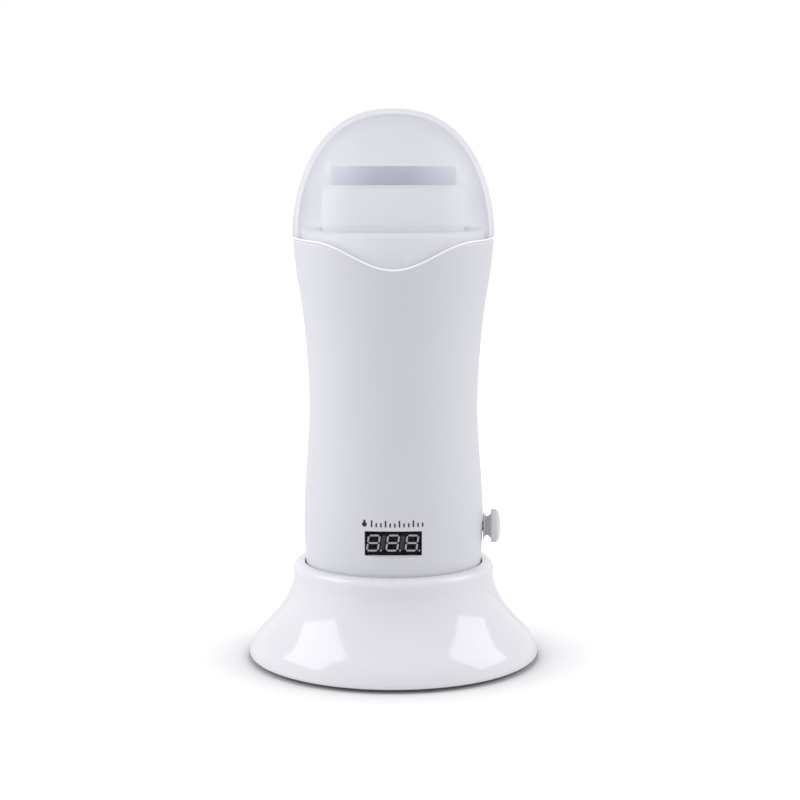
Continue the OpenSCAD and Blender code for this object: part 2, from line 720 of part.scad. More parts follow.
// Both shells in one piece, before they are split at the seam.
module shell_pair() {
  difference() {
    union() {
      difference() { body_block(); body_cavity(body_wall); }
      intersection() {
        body_cavity(body_wall - 0.8);
        union() {
          boss_corners() along_y() cylinder(d = boss_d, h = far, center = true);
          translate([rib_x - rib_t, -far / 2, control_h - 8]) cube([rib_t, far, 16]);
          for (y = [-1, 1]) translate([-rest_w / 2, y > 0 ? rest_y : -rest_y - far, well_floor_h - rest_t])
            cube([rest_w, far, rest_t]);
          board_corners() translate([0, board_y, 0]) rotate([90, 0, 0]) cylinder(d = board_post_d, h = far);
          collar_ledge();
        }
      }
    }
    above_parting(0);
    boss_corners() {
      translate([0, boss_seat_y, 0]) along_y() cylinder(d = screw_head_d + 2 * fit_gap, h = far);
      translate([0, -boss_seat_y + 2, 0]) along_y() cylinder(d = screw_d, h = boss_seat_y);
      along_y() cylinder(d = screw_d + 2 * fit_gap, h = far);
    }
    board_corners() translate([0, board_y - 3.2, 0]) along_y() cylinder(d = screw_d, h = 4);
    translate([0, -far / 2 + board_y, control_h])
      cube([display_w + 2 * fit_gap, far, display_tall + 2 * fit_gap], center = true);
    translate([0, 0, control_h]) along_x() cylinder(d = shaft_d + 1.2, h = far);
    translate([0, 0, control_h]) along_x() cylinder(d = bushing_d + 2 * fit_gap, h = rib_x + 0.01);
    translate([-inlet_w / 2 - fit_gap, -inlet_d / 2 - fit_gap, -1])
      cube([inlet_w + 2 * fit_gap, inlet_d + 2 * fit_gap, 1 + 2 * body_wall]);
  }
}

module collar_ledge() {
  low = ledge_h - ledge_t;
  oval(depth_share) polygon([
    [body_r(low) - body_wall - ledge_reach, low], [body_r(low) - 0.5, low],
    [body_r(ledge_h) - 0.5, ledge_h], [body_r(low) - body_wall - ledge_reach, ledge_h]]);
}

module half(side) {
  intersection() {
    children();
    translate([-far / 2, side < 0 ? -far : 0, -1]) cube([far, far, far]);
  }
}

module front_shell() { color(white) at_heater() half(-1) shell_pair(); }

module rear_shell() { color(white) at_heater() half(1) shell_pair(); }

module shell_screws() {
  color(steel) at_heater() boss_corners()
    translate([0, boss_seat_y, 0]) along_y() screw(2 * boss_seat_y - 3.5);
}

collar_r = body_r(ledge_h) - body_wall - fit_gap - 0.1;

module collar() {
  color(white) at_heater() difference() {
    oval(depth_share) polygon(concat([[0, ledge_h], [collar_r, ledge_h]],
      arc([collar_r - collar_round, collar_h - collar_round], collar_round, 0, 90, 4), [[0, collar_h]]));
    oval(depth_share) translate([0, ledge_h - 1])
      square([collar_r - collar_wall, collar_h - collar_top - ledge_h + 1]);
    linear_extrude(far) round_rect(cart_w + 2 * cart_gap, cart_d + 2 * cart_gap, cart_round + cart_gap);
  }
}

module cartridge_well() {
  inner_w = cart_w + 2 * cart_gap;
  inner_d = cart_d + 2 * cart_gap;
  inner_round = cart_round + cart_gap;
  top_h = collar_h - collar_top;
  color(warm_white) at_heater() difference() {
    union() {
      translate([0, 0, well_floor_h]) linear_extrude(top_h - well_floor_h)
        round_rect(inner_w + 2 * well_wall, inner_d + 2 * well_wall, inner_round + well_wall);
      translate([0, 0, top_h - well_flange_t]) linear_extrude(well_flange_t)
        round_rect(inner_w + 2 * well_wall + 2 * well_flange, inner_d + 2 * well_wall + 2 * well_flange,
                   inner_round + well_wall + well_flange);
    }
    translate([0, 0, well_floor_h + well_bottom]) linear_extrude(far)
      round_rect(inner_w, inner_d, inner_round);
    translate([-plate_w / 2 - fit_gap, 0, plate_mid_h - plate_tall / 2 - fit_gap])
      cube([plate_w + 2 * fit_gap, far, plate_tall + 2 * fit_gap]);
  }
}

// ---- heating ----

plate_y = cart_d / 2 + cart_gap;                 // face that warms the cartridge
plate_back_y = plate_y + well_wall + plate_t;
clamp_foot = plate_rim + (plate_w - ptc_w) / 2 - clamp_t;

module heating_plate() {
  color(steel) at_heater() translate([0, 0, plate_mid_h]) {
    translate([-plate_w / 2, plate_y, -plate_tall / 2]) cube([plate_w, well_wall + plate_t, plate_tall]);
    translate([-plate_w / 2 - plate_rim, plate_y + well_wall, -plate_tall / 2 - plate_rim])
      cube([plate_w + 2 * plate_rim, plate_t, plate_tall + 2 * plate_rim]);
  }
}

module ptc_heater() {
  color(warm_white) at_heater()
    translate([-ptc_w / 2, plate_back_y, plate_mid_h - ptc_tall / 2]) cube([ptc_w, ptc_t, ptc_tall]);
}

module ptc_clamp() {
  color(steel) at_heater() translate([0, plate_back_y, plate_mid_h - clamp_strip / 2])
    linear_extrude(clamp_strip) {
      translate([-ptc_w / 2 - clamp_t, ptc_t]) square([ptc_w + 2 * clamp_t, clamp_t]);
      for (x = [-1, 1]) {
        translate([x * (ptc_w + clamp_t) / 2 - clamp_t / 2, 0]) square([clamp_t, ptc_t + clamp_t]);
        translate([x * (ptc_w / 2 + clamp_t + clamp_foot / 2) - clamp_foot / 2, 0])
          square([clamp_foot, clamp_t]);
      }
    }
}

module thermal_fuse() {
  color(brass) at_heater()
    translate([-fuse_l / 2, plate_back_y + fuse_d / 2, plate_mid_h + ptc_tall / 2 + 6])
      along_x() cylinder(d = fuse_d, h = fuse_l);
}

module temperature_sensor() {
  color(black) at_heater()
    translate([0, plate_back_y, plate_mid_h - ptc_tall / 2 - 10])
      along_y() cylinder(d = sensor_d, h = sensor_l);
}

// ---- connector in the heater's foot ----

foot_ear = 2.5;                                  // flange that seats the inlet in the foot
foot_ear_t = 1.6;

module foot_inlet() {
  color(black) at_heater() {
    inlet_housing();
    difference() {
      translate([-inlet_w / 2 - foot_ear, -inlet_d / 2 - foot_ear, body_wall])
        cube([inlet_w + 2 * foot_ear, inlet_d + 2 * foot_ear, foot_ear_t]);
      translate([-inlet_w / 2 + 1, -inlet_d / 2 + 1, 0]) cube([inlet_w - 2, inlet_d - 2, inlet_l]);
    }
  }
}

module foot_pins() { color(steel) at_heater() inlet_pins(); }

// ---- controls ----

board_back_y = board_y + board_t;

module control_board() {
  color(board_green) at_heater() difference() {
    translate([-board_w / 2, board_y, board_low_h]) cube([board_w, board_t, board_tall]);
    board_corners() along_y() cylinder(d = screw_d + 2 * fit_gap, h = 2 * far, center = true);
  }
}

// A capacitor, a relay, a chip and the terminal block that the heater's leads end in.
capacitor_d = 9;
capacitor_l = 8;
relay_w = 9;
relay_t = 4.4;
relay_tall = 10;
chip_w = 8;
chip_t = 1.6;
chip_tall = 6;
terminal_w = 12;
terminal_t = 5;
part_row = 6;                            // height of the relay and depth of the terminal's row
part_gap = 2;
module board_components() {
  color(black) at_heater() translate([0, board_back_y, board_low_h]) {
    translate([part_gap - capacitor_d, 0, part_row + 1.5 * part_gap])
      along_y() cylinder(d = capacitor_d, h = capacitor_l);
    translate([part_gap, 0, part_row]) cube([relay_w, relay_t, relay_tall]);
    translate([-chip_w / 2, 0, part_row + relay_tall + part_gap / 2]) cube([chip_w, chip_t, chip_tall]);
    translate([-terminal_w / 2, 0, board_tall - part_row]) cube([terminal_w, terminal_t, terminal_t]);
  }
}

board_screw_l = 4.4;
module board_screws() {
  color(steel) at_heater() board_corners() translate([0, board_back_y, 0]) along_y() screw(board_screw_l);
}

digit_t = 0.15;                          // raised face of the digits, behind the window
display_face_y = display_y + window_t + digit_t;

module display_module() {
  color(black) at_heater() translate([-display_w / 2, display_face_y, control_h - display_tall / 2])
    cube([display_w, board_y - display_face_y, display_tall]);
}

// One bar of a seven-segment digit, pointed at both ends, from a to b.
bar_gap = 0.06;
function bar(a, b) = let (d = unit(b - a), s = [-d[1], d[0]] * stroke / 2,
    p = a + d * (stroke / 2 + bar_gap), q = b - d * (stroke / 2 + bar_gap))
  [p - d * stroke / 2, p + s, q + s, q + d * stroke / 2, q - s, p - s];

// The seven bars of a digit that is centred on the origin.
digit_bars = let (x = (digit_w - stroke) / 2, y = (digit_tall - stroke) / 2) [
  bar([-x, y], [x, y]), bar([-x, 0], [x, 0]), bar([-x, -y], [x, -y]),
  bar([-x, 0], [-x, y]), bar([x, 0], [x, y]), bar([-x, -y], [-x, 0]), bar([x, -y], [x, 0])];

module display_digits() {
  color(roller_grey) at_heater() translate([0, display_face_y, control_h]) upright()
    linear_extrude(digit_t) for (n = [-1 : 1]) translate([n * digit_pitch - 0.3, 0]) {
      for (b = digit_bars) polygon([for (p = b) [p[0] + p[1] * tan(digit_lean), p[1]]]);
      translate([digit_w / 2 + 0.75, -(digit_tall - stroke) / 2]) circle(d = stroke);
    }
}

module display_window() {
  color([0.2, 0.2, 0.22, 0.4]) at_heater()
    translate([-display_w / 2, display_y, control_h - display_tall / 2])
      cube([display_w, window_t, display_tall]);
}

pot_face_x = rib_x - rib_t;              // where the potentiometer's body meets its rib
bushing_l = rib_t + nut_t;
knob_x = body_r(control_h) + 0.4;        // inner end of the knob
knob_tip_x = body_r(control_h) + knob_reach;
shaft_end_x = knob_tip_x - knob_dome - 0.4;

module at_control_axis(x) { at_heater() translate([x, 0, control_h]) along_x() children(); }

pot_back_t = 2;                          // solid back of the potentiometer's body

module potentiometer() {
  color(steel) at_control_axis(pot_face_x - pot_t) difference() {
    union() {
      cylinder(d = pot_d, h = pot_t);
      cylinder(d = bushing_d, h = pot_t + bushing_l);
    }
    translate([0, 0, pot_back_t]) cylinder(d = shaft_d + 2 * run_gap, h = far);
  }
}

module pot_nut() {
  color(steel) at_control_axis(rib_x) difference() {
    cylinder(d = bushing_d + 3, h = nut_t, $fn = 6);
    translate([0, 0, -1]) cylinder(d = bushing_d + 2 * shell_gap, h = far);
  }
}

module pot_shaft() {
  start_x = pot_face_x - pot_t + pot_back_t + fit_gap;
  color(steel) at_control_axis(start_x) cylinder(d = shaft_d, h = shaft_end_x - start_x);
}

// The knob's half section: neck, flange and domed disc, from the wall outwards.
module thermostat_knob() {
  disc_low = knob_tip_x - knob_x - knob_dome - knob_edge;
  neck = [for (k = [0 : 8]) let (t = k / 8)
    [knob_neck_d / 2 + (t < 0.45 ? (knob_foot_d - knob_neck_d) / 2 * pow(1 - t / 0.45, 2)
        : (knob_d * 0.8 - knob_neck_d) / 2 * pow((t - 0.45) / 0.55, 2)), t * disc_low]];
  dome = [for (k = [0 : 5]) let (a = 18 * k)
    [k == 5 ? 0 : knob_d / 2 * pow(cos(a), 0.6), disc_low + knob_edge + knob_dome * sin(a)]];
  color(white) at_control_axis(knob_x) difference() {
    rotate_extrude() polygon(concat([[0, 0]], neck, [[knob_d / 2, disc_low]], dome));
    translate([0, 0, -1]) cylinder(d = shaft_d, h = shaft_end_x - knob_x + 1);
  }
}

module heater_leads() {
  r = 0.8;
  tail_h = inlet_l + pin_tail;
  plate_low_h = plate_mid_h - ptc_tall / 2;
  terminal_h = board_low_h + board_tall - 3.5;
  heater_y = plate_back_y + ptc_t / 2;
  color(copper_red) at_heater() for (side = [-1, 1]) {
    lead([[side * pin_pitch / 2, 0, tail_h + weld], [side * pin_pitch / 2, -0.5, tail_h + 2.5],
          [side * (pin_pitch / 2 + 1), -6, board_low_h + 3],
          [side * (pin_pitch / 2 + 1.5), board_back_y + weld, board_low_h + 2]], r);
    lead([[side * 4, board_back_y + terminal_t + weld, terminal_h], [side * 5, -8, terminal_h],
          [side * 8, 4, well_floor_h - 4.5], [side * 10.2, 15, well_floor_h - 3.4],
          [side * 10.4, heater_y, well_floor_h + 1.5],
          [side * (ptc_w / 2 - 2), heater_y, plate_low_h - 12],
          [side * (ptc_w / 2 - 2), heater_y, plate_low_h - weld]], r);
  }
}

// ---- wax cartridge ----

cart_h = well_floor_h + well_bottom + seat_gap;          // underside of the cartridge
cart_top_h = cart_h + cart_tall;                         // its ledge
roller_h = cart_top_h - roller_drop;
head_w = cart_w - 2 * head_inset;                        // over the two posts
slot_w = head_w - 2 * post_t;                            // room for the roller between the posts
slot_d = roller_d + 0.8;
feed_w = 36;                                             // opening that lets the wax reach the roller
feed_d = 7;

module cartridge_container() {
  color(frosted) at_heater() difference() {
    translate([0, 0, cart_h]) linear_extrude(cart_tall) round_rect(cart_w, cart_d, cart_round);
    translate([0, 0, cart_h + cart_wall]) linear_extrude(far)
      round_rect(cart_w - 2 * cart_wall, cart_d - 2 * cart_wall, cart_round - cart_wall);
  }
}

module wax_fill() {
  inset = cart_wall + fit_gap / 2;
  color(wax_blue) at_heater() translate([0, 0, cart_h + cart_wall]) linear_extrude(wax_tall)
    round_rect(cart_w - 2 * inset, cart_d - 2 * inset, cart_round - inset);
}

// A plug in the container's mouth, a trough for the roller and a post at each end of it.
module cartridge_head() {
  plug_inset = cart_wall + fit_gap / 2;
  post_side = post_tall - post_d / 4;                    // straight part of a post
  post_x = head_w / 2 - post_t / 2;
  color(frosted) at_heater() difference() {
    union() {
      translate([0, 0, cart_top_h - head_plug]) linear_extrude(head_plug + lip_tall)
        round_rect(cart_w - 2 * plug_inset, cart_d - 2 * plug_inset, cart_round - plug_inset);
      intersection() {
        for (x = [-1, 1]) translate([x * post_x, 0, cart_top_h])
          along_x() linear_extrude(post_t, center = true) {
            translate([-post_side / 2, 0]) square([post_side, post_d], center = true);
            translate([-post_tall + post_d / 2, 0]) circle(d = post_d);
          }
        translate([-far / 2, -far / 2, cart_top_h]) cube([far, far, far]);
      }
    }
    translate([-slot_w / 2, -slot_d / 2, roller_h - slot_d / 2]) cube([slot_w, slot_d, far]);
    linear_extrude(far) stadium(feed_w, feed_d);
    for (x = [-1, 1]) {
      translate([x * post_x, 0, roller_h])
        along_x() cylinder(d = axle_d + 2 * run_gap, h = 2 * post_t + 2, center = true);
      translate([x * (head_w + far) / 2, 0, cart_top_h + lip_tall / 8 + far / 2])
        cube([far, far, far], center = true);
    }
  }
}

module roller() {
  roller_l = slot_w - 2 * fit_gap;
  edge = 0.8;
  color(roller_grey) at_heater() translate([0, 0, roller_h]) along_x() rotate_extrude()
    polygon([[0, -roller_l / 2 - axle_reach], [axle_d / 2, -roller_l / 2 - axle_reach],
             [axle_d / 2, -roller_l / 2], [roller_d / 2 - edge, -roller_l / 2],
             [roller_d / 2, -roller_l / 2 + edge], [roller_d / 2, roller_l / 2 - edge],
             [roller_d / 2 - edge, roller_l / 2], [axle_d / 2, roller_l / 2],
             [axle_d / 2, roller_l / 2 + axle_reach], [0, roller_l / 2 + axle_reach]]);
}

// ---- cap ----

cap_low_h = parting_h - dip_depth - 2;

module cap_block(inset) {
  oval(depth_share) polygon(concat(
    [[0, cap_low_h - inset], [body_r(cap_low_h) - inset, cap_low_h - inset]],
    [for (p = body_line) if (p[1] > cap_low_h + 0.5 && p[1] < shoulder_h - 0.5) [p[0] - inset, p[1]]],
    dome_line(inset)));
}

module dome_cap() {
  bead_low_h = parting_h + parting_gap + 0.3;
  tab_h = parting_h - dip_depth + parting_gap + 4.2;
  color(frosted) at_heater() intersection() {
    above_parting(parting_gap);
    union() {
      difference() {
        cap_block(0);
        cap_block(cap_wall);
      }
      oval(depth_share) translate([collar_r + fit_gap, bead_low_h])
        square([shoulder_w / 2 - cap_wall / 2 - collar_r - fit_gap, bead_tall]);
      intersection() {
        translate([-tab_w / 2, -far, tab_h - tab_tall / 2]) cube([tab_w, far, tab_tall]);
        difference() {
          translate([0, -tab_proud, 0]) cap_block(0);
          cap_block(cap_wall / 2);
        }
      }
    }
  }
}

// ---- the nodes ----

base_shell();
base_bottom_plate();
rubber_feet();
base_screws();
mains_inlet();
mains_pins();
dock_connector();
dock_contacts();
base_leads();
front_shell();
rear_shell();
shell_screws();
collar();
cartridge_well();
heating_plate();
ptc_heater();
ptc_clamp();
thermal_fuse();
temperature_sensor();
foot_inlet();
foot_pins();
control_board();
board_components();
board_screws();
display_module();
display_digits();
display_window();
potentiometer();
pot_nut();
heater_leads();
thermostat_knob();
pot_shaft();
cartridge_container();
cartridge_head();
wax_fill();
roller();
dome_cap();
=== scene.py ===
"""Roll-on wax heater in its docking base: the finished surfaces, lights and camera.

Sizes are in millimetres, as in the design, and meshes are scaled to metres when they are made.
+Z is up, the display faces -Y and the thermostat knob is at +X.
Heights whose names end in _H are measured from the heater's own foot.
"""

import json
import math

import bmesh
import bpy
import numpy as np
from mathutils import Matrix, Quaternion, Vector

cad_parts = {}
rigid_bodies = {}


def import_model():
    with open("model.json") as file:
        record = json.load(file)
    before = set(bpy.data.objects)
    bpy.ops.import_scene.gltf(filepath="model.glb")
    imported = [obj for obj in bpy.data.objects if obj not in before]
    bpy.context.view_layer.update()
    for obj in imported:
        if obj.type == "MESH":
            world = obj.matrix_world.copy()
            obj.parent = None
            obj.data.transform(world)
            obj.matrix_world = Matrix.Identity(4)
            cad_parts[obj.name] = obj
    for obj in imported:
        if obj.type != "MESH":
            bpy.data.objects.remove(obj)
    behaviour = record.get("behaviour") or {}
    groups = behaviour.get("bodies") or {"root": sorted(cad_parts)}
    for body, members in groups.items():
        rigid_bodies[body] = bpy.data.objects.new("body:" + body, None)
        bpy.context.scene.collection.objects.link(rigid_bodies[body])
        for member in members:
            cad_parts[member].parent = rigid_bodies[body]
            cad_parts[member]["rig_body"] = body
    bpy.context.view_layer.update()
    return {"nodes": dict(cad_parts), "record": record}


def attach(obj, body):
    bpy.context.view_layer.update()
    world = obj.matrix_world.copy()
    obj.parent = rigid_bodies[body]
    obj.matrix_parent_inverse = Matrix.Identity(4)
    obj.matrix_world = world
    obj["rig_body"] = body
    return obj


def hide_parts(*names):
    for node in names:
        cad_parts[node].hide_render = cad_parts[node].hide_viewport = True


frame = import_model()
scene = bpy.context.scene

MM = 0.001
STEPS = 12  # rows between two of the body's widths
COLUMNS = 256  # points round the body
SAME_PLACE = 2e-6  # metres within which two points of a mesh are one

# ---- sizes, in millimetres ----

DOCK_FLOOR_Z = 15.0
SEAT_GAP = 0.3
HEATER_Z = DOCK_FLOOR_Z + SEAT_GAP
BODY_SHARE = 0.88  # depth as a share of width
BODY_STATIONS = [  # radius, height
    (33.2, 0.0),
    (35.7, 41.7),
    (33.4, 82.7),
    (34.2, 108.7),
    (36.0, 126.7),
    (38.15, 140.7),
    (39.55, 154.7),
]
SHOULDER_R, SHOULDER_H = BODY_STATIONS[-1]
BODY_WALL = 2.2
FOOT_ROUND = 2.5
DOME_TALL = 49.2
DOME_FULLNESS = 0.85
CAP_WALL = 2.0
PARTING_H = 153.9
DIP_DEPTH = 9.7
DIP_HALF = 31.0
PARTING_GAP = 0.35
CONTROL_H = 38.0
DISPLAY_W = 21.8
DISPLAY_TALL = 9.3
WINDOW_INSET = 1.75
WINDOW_T = 0.5
DISPLAY_SHIFT = -0.4  # the seen display stands a little lower than in the design
DISPLAY_STRETCH = 1.03  # and is a little taller
DIGIT_PITCH = 7.5
DIGIT_W, DIGIT_TALL = 5.0, 6.7
DIGIT_LEAN = 8  # degrees
DIGIT_OFFSET = -0.25  # keeps the leaning digits and their points centred
BAR_GAP = 0.22  # from the tip of a bar to the corner of its digit
STROKE = 0.7
FIT_GAP = 0.2
SHAFT_D = 4.0
SHAFT_GAP = 0.6
INLET_HALF = (9.3, 5.9)  # half the connector's width and depth
SCREW_X = 21.0
SCREW_HEIGHTS = (12.5, 49.0)
SCREW_HOLE_R = 2.5
ROLLER_H = 172.2
BASE_SHARE = 0.95
BASE_R = 58.0
BASE_EDGE_R = 52.3
BASE_EDGE_Z = 12.0
RIM_R = 40.0
RIM_Z = 39.6
FLARE_TOP_Z = 34.0
FLARE_SWEEP = 1.75
RIM_ROUND = 3.0
MOUTH_ROUND = 0.8
MOUTH_GAP = 0.45  # the dock's mouth stands closer to the heater than its wall does
LIP_ROUND = 1.5
FOOT_LIFT = 1.2
BASE_WALL = 2.4
DOCK_WALL = 2.0
DOCK_GAP = 0.9
DOCK_CORNER = 1.2
BOTTOM_TOP_Z = 3.4
NOTCH_HALF = 10.5
NOTCH_Y = 45.5  # the notch for the mains plug is cut from here to the outside
NOTCH_WALL = 1.6
NOTCH_TOP_Z = 16.9
NOSE_W, NOSE_D = 14.2, 7.4  # hole for the connector's nose
OUTSIDE = 60.0  # past every surface of the heater

# ---- studio ----

FLOOR_GLOW = 0.75  # what the open floor adds to the light that falls on it
FLOOR_HALF = 3000.0
FLOOR_TONE, FLOOR_SEEN_TONE = 0.9, 0.5  # to light that bounces, and to the camera
SHADOW_REACH = 150
SHADOW_LEAN = math.radians(20)  # shade is looked for this far from straight up, towards the back
SHADOW_DARK, SHADOW_LIGHT = 0.54, 0.967  # openness of the darkest and the last shaded place
AMBIENT = 0.647
CAMERA_AT = (0.0026, -0.900, 0.257)  # metres
CAMERA_DROP = 9.628  # degrees below level
CAMERA_LENS = 103.44
SOFTBOXES = {  # degrees round and up, roll, metres away, width, height, watts, seen in reflections
    "left_softbox": (-88.5, 46, 10, 1.08, 0.67, 0.6, 2.75, True),
    "right_softbox": (92.7, 42, -7, 1.0, 0.56, 0.57, 2.1, True),
    "left_fill": (-80, 18, 0, 1.2, 0.9, 0.9, 2.6, False),
    "right_fill": (80, 18, 0, 1.2, 0.9, 0.9, 1.3, False),
}


# ---- curves ----


def catmull(a, b, c, d, t):
    return 0.5 * (
        2 * b
        + (c - a) * t
        + (2 * a - 5 * b + 4 * c - d) * t * t
        + (3 * b - a - 3 * c + d) * t * t * t
    )


def smooth(stations, steps):
    """A smooth line through the stations, as an array of points."""
    s = np.array(stations, float)
    last = len(s) - 1
    line = [
        catmull(s[max(i - 1, 0)], s[i], s[i + 1], s[min(i + 2, last)], k / steps)
        for i in range(last)
        for k in range(steps)
    ]
    return np.array(line + [s[last]])


def arc(middle, r, start, end, steps):
    """Points on an arc, from one angle to another in degrees."""
    a = np.radians(np.linspace(start, end, steps + 1))
    return np.stack([middle[0] + r * np.cos(a), middle[1] + r * np.sin(a)], 1)


def bezier(a, b, c, t):
    a, b, c = np.array(a), np.array(b), np.array(c)
    return (1 - t) ** 2 * a + 2 * t * (1 - t) * b + t * t * c


def resample(line, count):
    """The same line with evenly spaced points."""
    line = np.array(line, float)
    run = np.concatenate([[0], np.cumsum(np.linalg.norm(np.diff(line, axis=0), axis=1))])
    at = np.linspace(0, run[-1], count)
    return np.stack([np.interp(at, run, line[:, k]) for k in range(line.shape[1])], 1)


BODY_LINE = smooth(BODY_STATIONS, STEPS)


def body_r(h):
    """The body's outer radius at a height above its foot."""
    return np.interp(h, BODY_LINE[:, 1], BODY_LINE[:, 0])


WINDOW_Y = WINDOW_INSET - BODY_SHARE * float(body_r(CONTROL_H))  # front of the display's window


def parting_h(x, shift=0.0):
    """Height of the wavy parting line at a place across the body."""
    dip = np.where(np.abs(x) < DIP_HALF, (1 + np.cos(np.pi * x / DIP_HALF)) / 2, 0)
    return PARTING_H + shift - DIP_DEPTH * dip


def dome_line(inset, steps=48):
    a = np.linspace(0, np.pi / 2, steps + 1)
    r = (SHOULDER_R - inset) * np.maximum(np.cos(a), 0) ** DOME_FULLNESS
    r[-1] = 0
    return np.stack([r, SHOULDER_H + (DOME_TALL - inset) * np.sin(a)], 1)


# ---- meshes ----


def add_piece(name, points, faces):
    """A new object from points in millimetres."""
    mesh = bpy.data.meshes.new(name)
    mesh.from_pydata((np.array(points) * MM).tolist(), [], faces)
    piece = bpy.data.objects.new(name, mesh)
    scene.collection.objects.link(piece)
    tidy(piece)
    return piece


def tidy(piece, sharp=32):
    """Joins equal points, turns faces outwards and shades the mesh smooth up to an angle."""
    bm = bmesh.new()
    bm.from_mesh(piece.data)
    bmesh.ops.remove_doubles(bm, verts=bm.verts, dist=SAME_PLACE)
    bmesh.ops.dissolve_degenerate(bm, edges=bm.edges, dist=1e-7)
    bmesh.ops.recalc_face_normals(bm, faces=bm.faces)
    bm.to_mesh(piece.data)
    bm.free()
    piece.data.shade_smooth()
    piece.data.set_sharp_from_angle(angle=math.radians(sharp))


def oval_ring(r, z, share):
    """Points round an oval whose depth is a share of its width."""
    a = np.radians(360.0 * np.arange(COLUMNS) / COLUMNS)
    return np.stack([r * np.cos(a), share * r * np.sin(a), np.full_like(a, z)], 1)


def box_ring(w, d, r, z, columns):
    """Points round a rectangle with round corners, one for each angle from its middle."""
    a = 2 * np.pi * np.arange(columns) / columns
    c, s = np.cos(a), np.sin(a)
    ac, as_ = np.maximum(np.abs(c), 1e-9), np.maximum(np.abs(s), 1e-9)
    mx, my = w / 2 - r, d / 2 - r
    along = mx * ac + my * as_
    t = along + np.sqrt(np.maximum(along**2 - mx**2 - my**2 + r**2, 0))
    t = np.where(d / 2 / as_ * ac <= mx, d / 2 / as_, t)
    t = np.where(w / 2 / ac * as_ <= my, w / 2 / ac, t)
    return np.stack([t * c, t * s, np.full_like(a, z)], 1)


def solid(name, outer, inner, wrap=True):
    """A walled solid between two grids of points, each an array of rows, columns and xyz."""
    rows, columns = outer.shape[:2]
    points = np.concatenate([outer.reshape(-1, 3), inner.reshape(-1, 3)])
    offset = rows * columns
    span = columns if wrap else columns - 1
    faces = []
    for i in range(rows - 1):
        for k in range(span):
            m = (k + 1) % columns
            a, b, c, d = i * columns + k, i * columns + m, (i + 1) * columns + m, (i + 1) * columns + k
            faces.append((a, b, c, d))
            faces.append((offset + d, offset + c, offset + b, offset + a))
    for i in (0, rows - 1):
        for k in range(span):
            m = (k + 1) % columns
            a, b = i * columns + k, i * columns + m
            faces.append((a, b, offset + b, offset + a))
    if not wrap:
        for i in range(rows - 1):
            for k in (0, columns - 1):
                a, b = i * columns + k, (i + 1) * columns + k
                faces.append((a, b, offset + b, offset + a))
    return add_piece(name, points, faces)


def turned(name, line, columns=96, ripple=None):
    """A solid of revolution about Z from a line of [radius, height], closed on the axis."""
    a = 2 * np.pi * np.arange(columns) / columns
    rows = []
    for k, (r, z) in enumerate(line):
        radius = r + (ripple(k, a) if ripple else 0)
        rows.append(np.stack([radius * np.cos(a), radius * np.sin(a), np.full_like(a, z)], 1))
    points = np.concatenate(rows)
    faces = []
    for i in range(len(line) - 1):
        for k in range(columns):
            m = (k + 1) % columns
            faces.append((i * columns + k, i * columns + m, (i + 1) * columns + m, (i + 1) * columns + k))
    return add_piece(name, points, faces)


def baked(piece):
    """Applies the modifiers of a piece."""
    depsgraph = bpy.context.evaluated_depsgraph_get()
    mesh = bpy.data.meshes.new_from_object(piece.evaluated_get(depsgraph))
    old = piece.data
    piece.modifiers.clear()
    piece.data = mesh
    bpy.data.meshes.remove(old)
    return piece


def combine(piece, others, operation):
    """Joins other solids to a piece, takes them out of it or keeps what they share."""
    for other in others:
        step = piece.modifiers.new("combine", "BOOLEAN")
        step.operation = operation
        step.solver = "EXACT"
        step.object = other
    baked(piece)
    for other in others:
        bpy.data.objects.remove(other)
    tidy(piece)
    return piece


def cut(piece, *cutters):
    return combine(piece, cutters, "DIFFERENCE")


def block(name, low, high, flare=(0.0, 0.0, 0.0)):
    """A box between two corners. Its front can be larger at the sides, the bottom and the top."""
    x, y, z = zip(low, high)
    side, bottom, top = flare
    points = []
    for i in range(8):
        front = not i >> 1 & 1
        px = x[i & 1] + (side if i & 1 else -side) * front
        points.append((px, y[i >> 1 & 1], z[i >> 2] + (top if i >> 2 else -bottom) * front))
    faces = [(0, 1, 3, 2), (4, 6, 7, 5), (0, 4, 5, 1), (2, 3, 7, 6), (0, 2, 6, 4), (1, 5, 7, 3)]
    return add_piece(name, points, faces)


ALONG_X, ALONG_Y = (2, 0, 1), (1, 2, 0)  # which of a mesh's own axes becomes X, Y and Z


def pin(name, start, swap, r, length):
    """A plain cylinder from a point along +X or +Y, used to cut."""
    piece = turned(name, [(0, 0), (r, 0), (r, length), (0, length)], 64)
    place(piece, start, swap)
    return piece


def place(piece, start, swap):
    """Moves a mesh drawn about Z so that it runs along another axis from a point."""
    for v in piece.data.vertices:
        v.co = Vector([v.co[k] for k in swap]) + Vector(start) * MM
    piece.data.update()


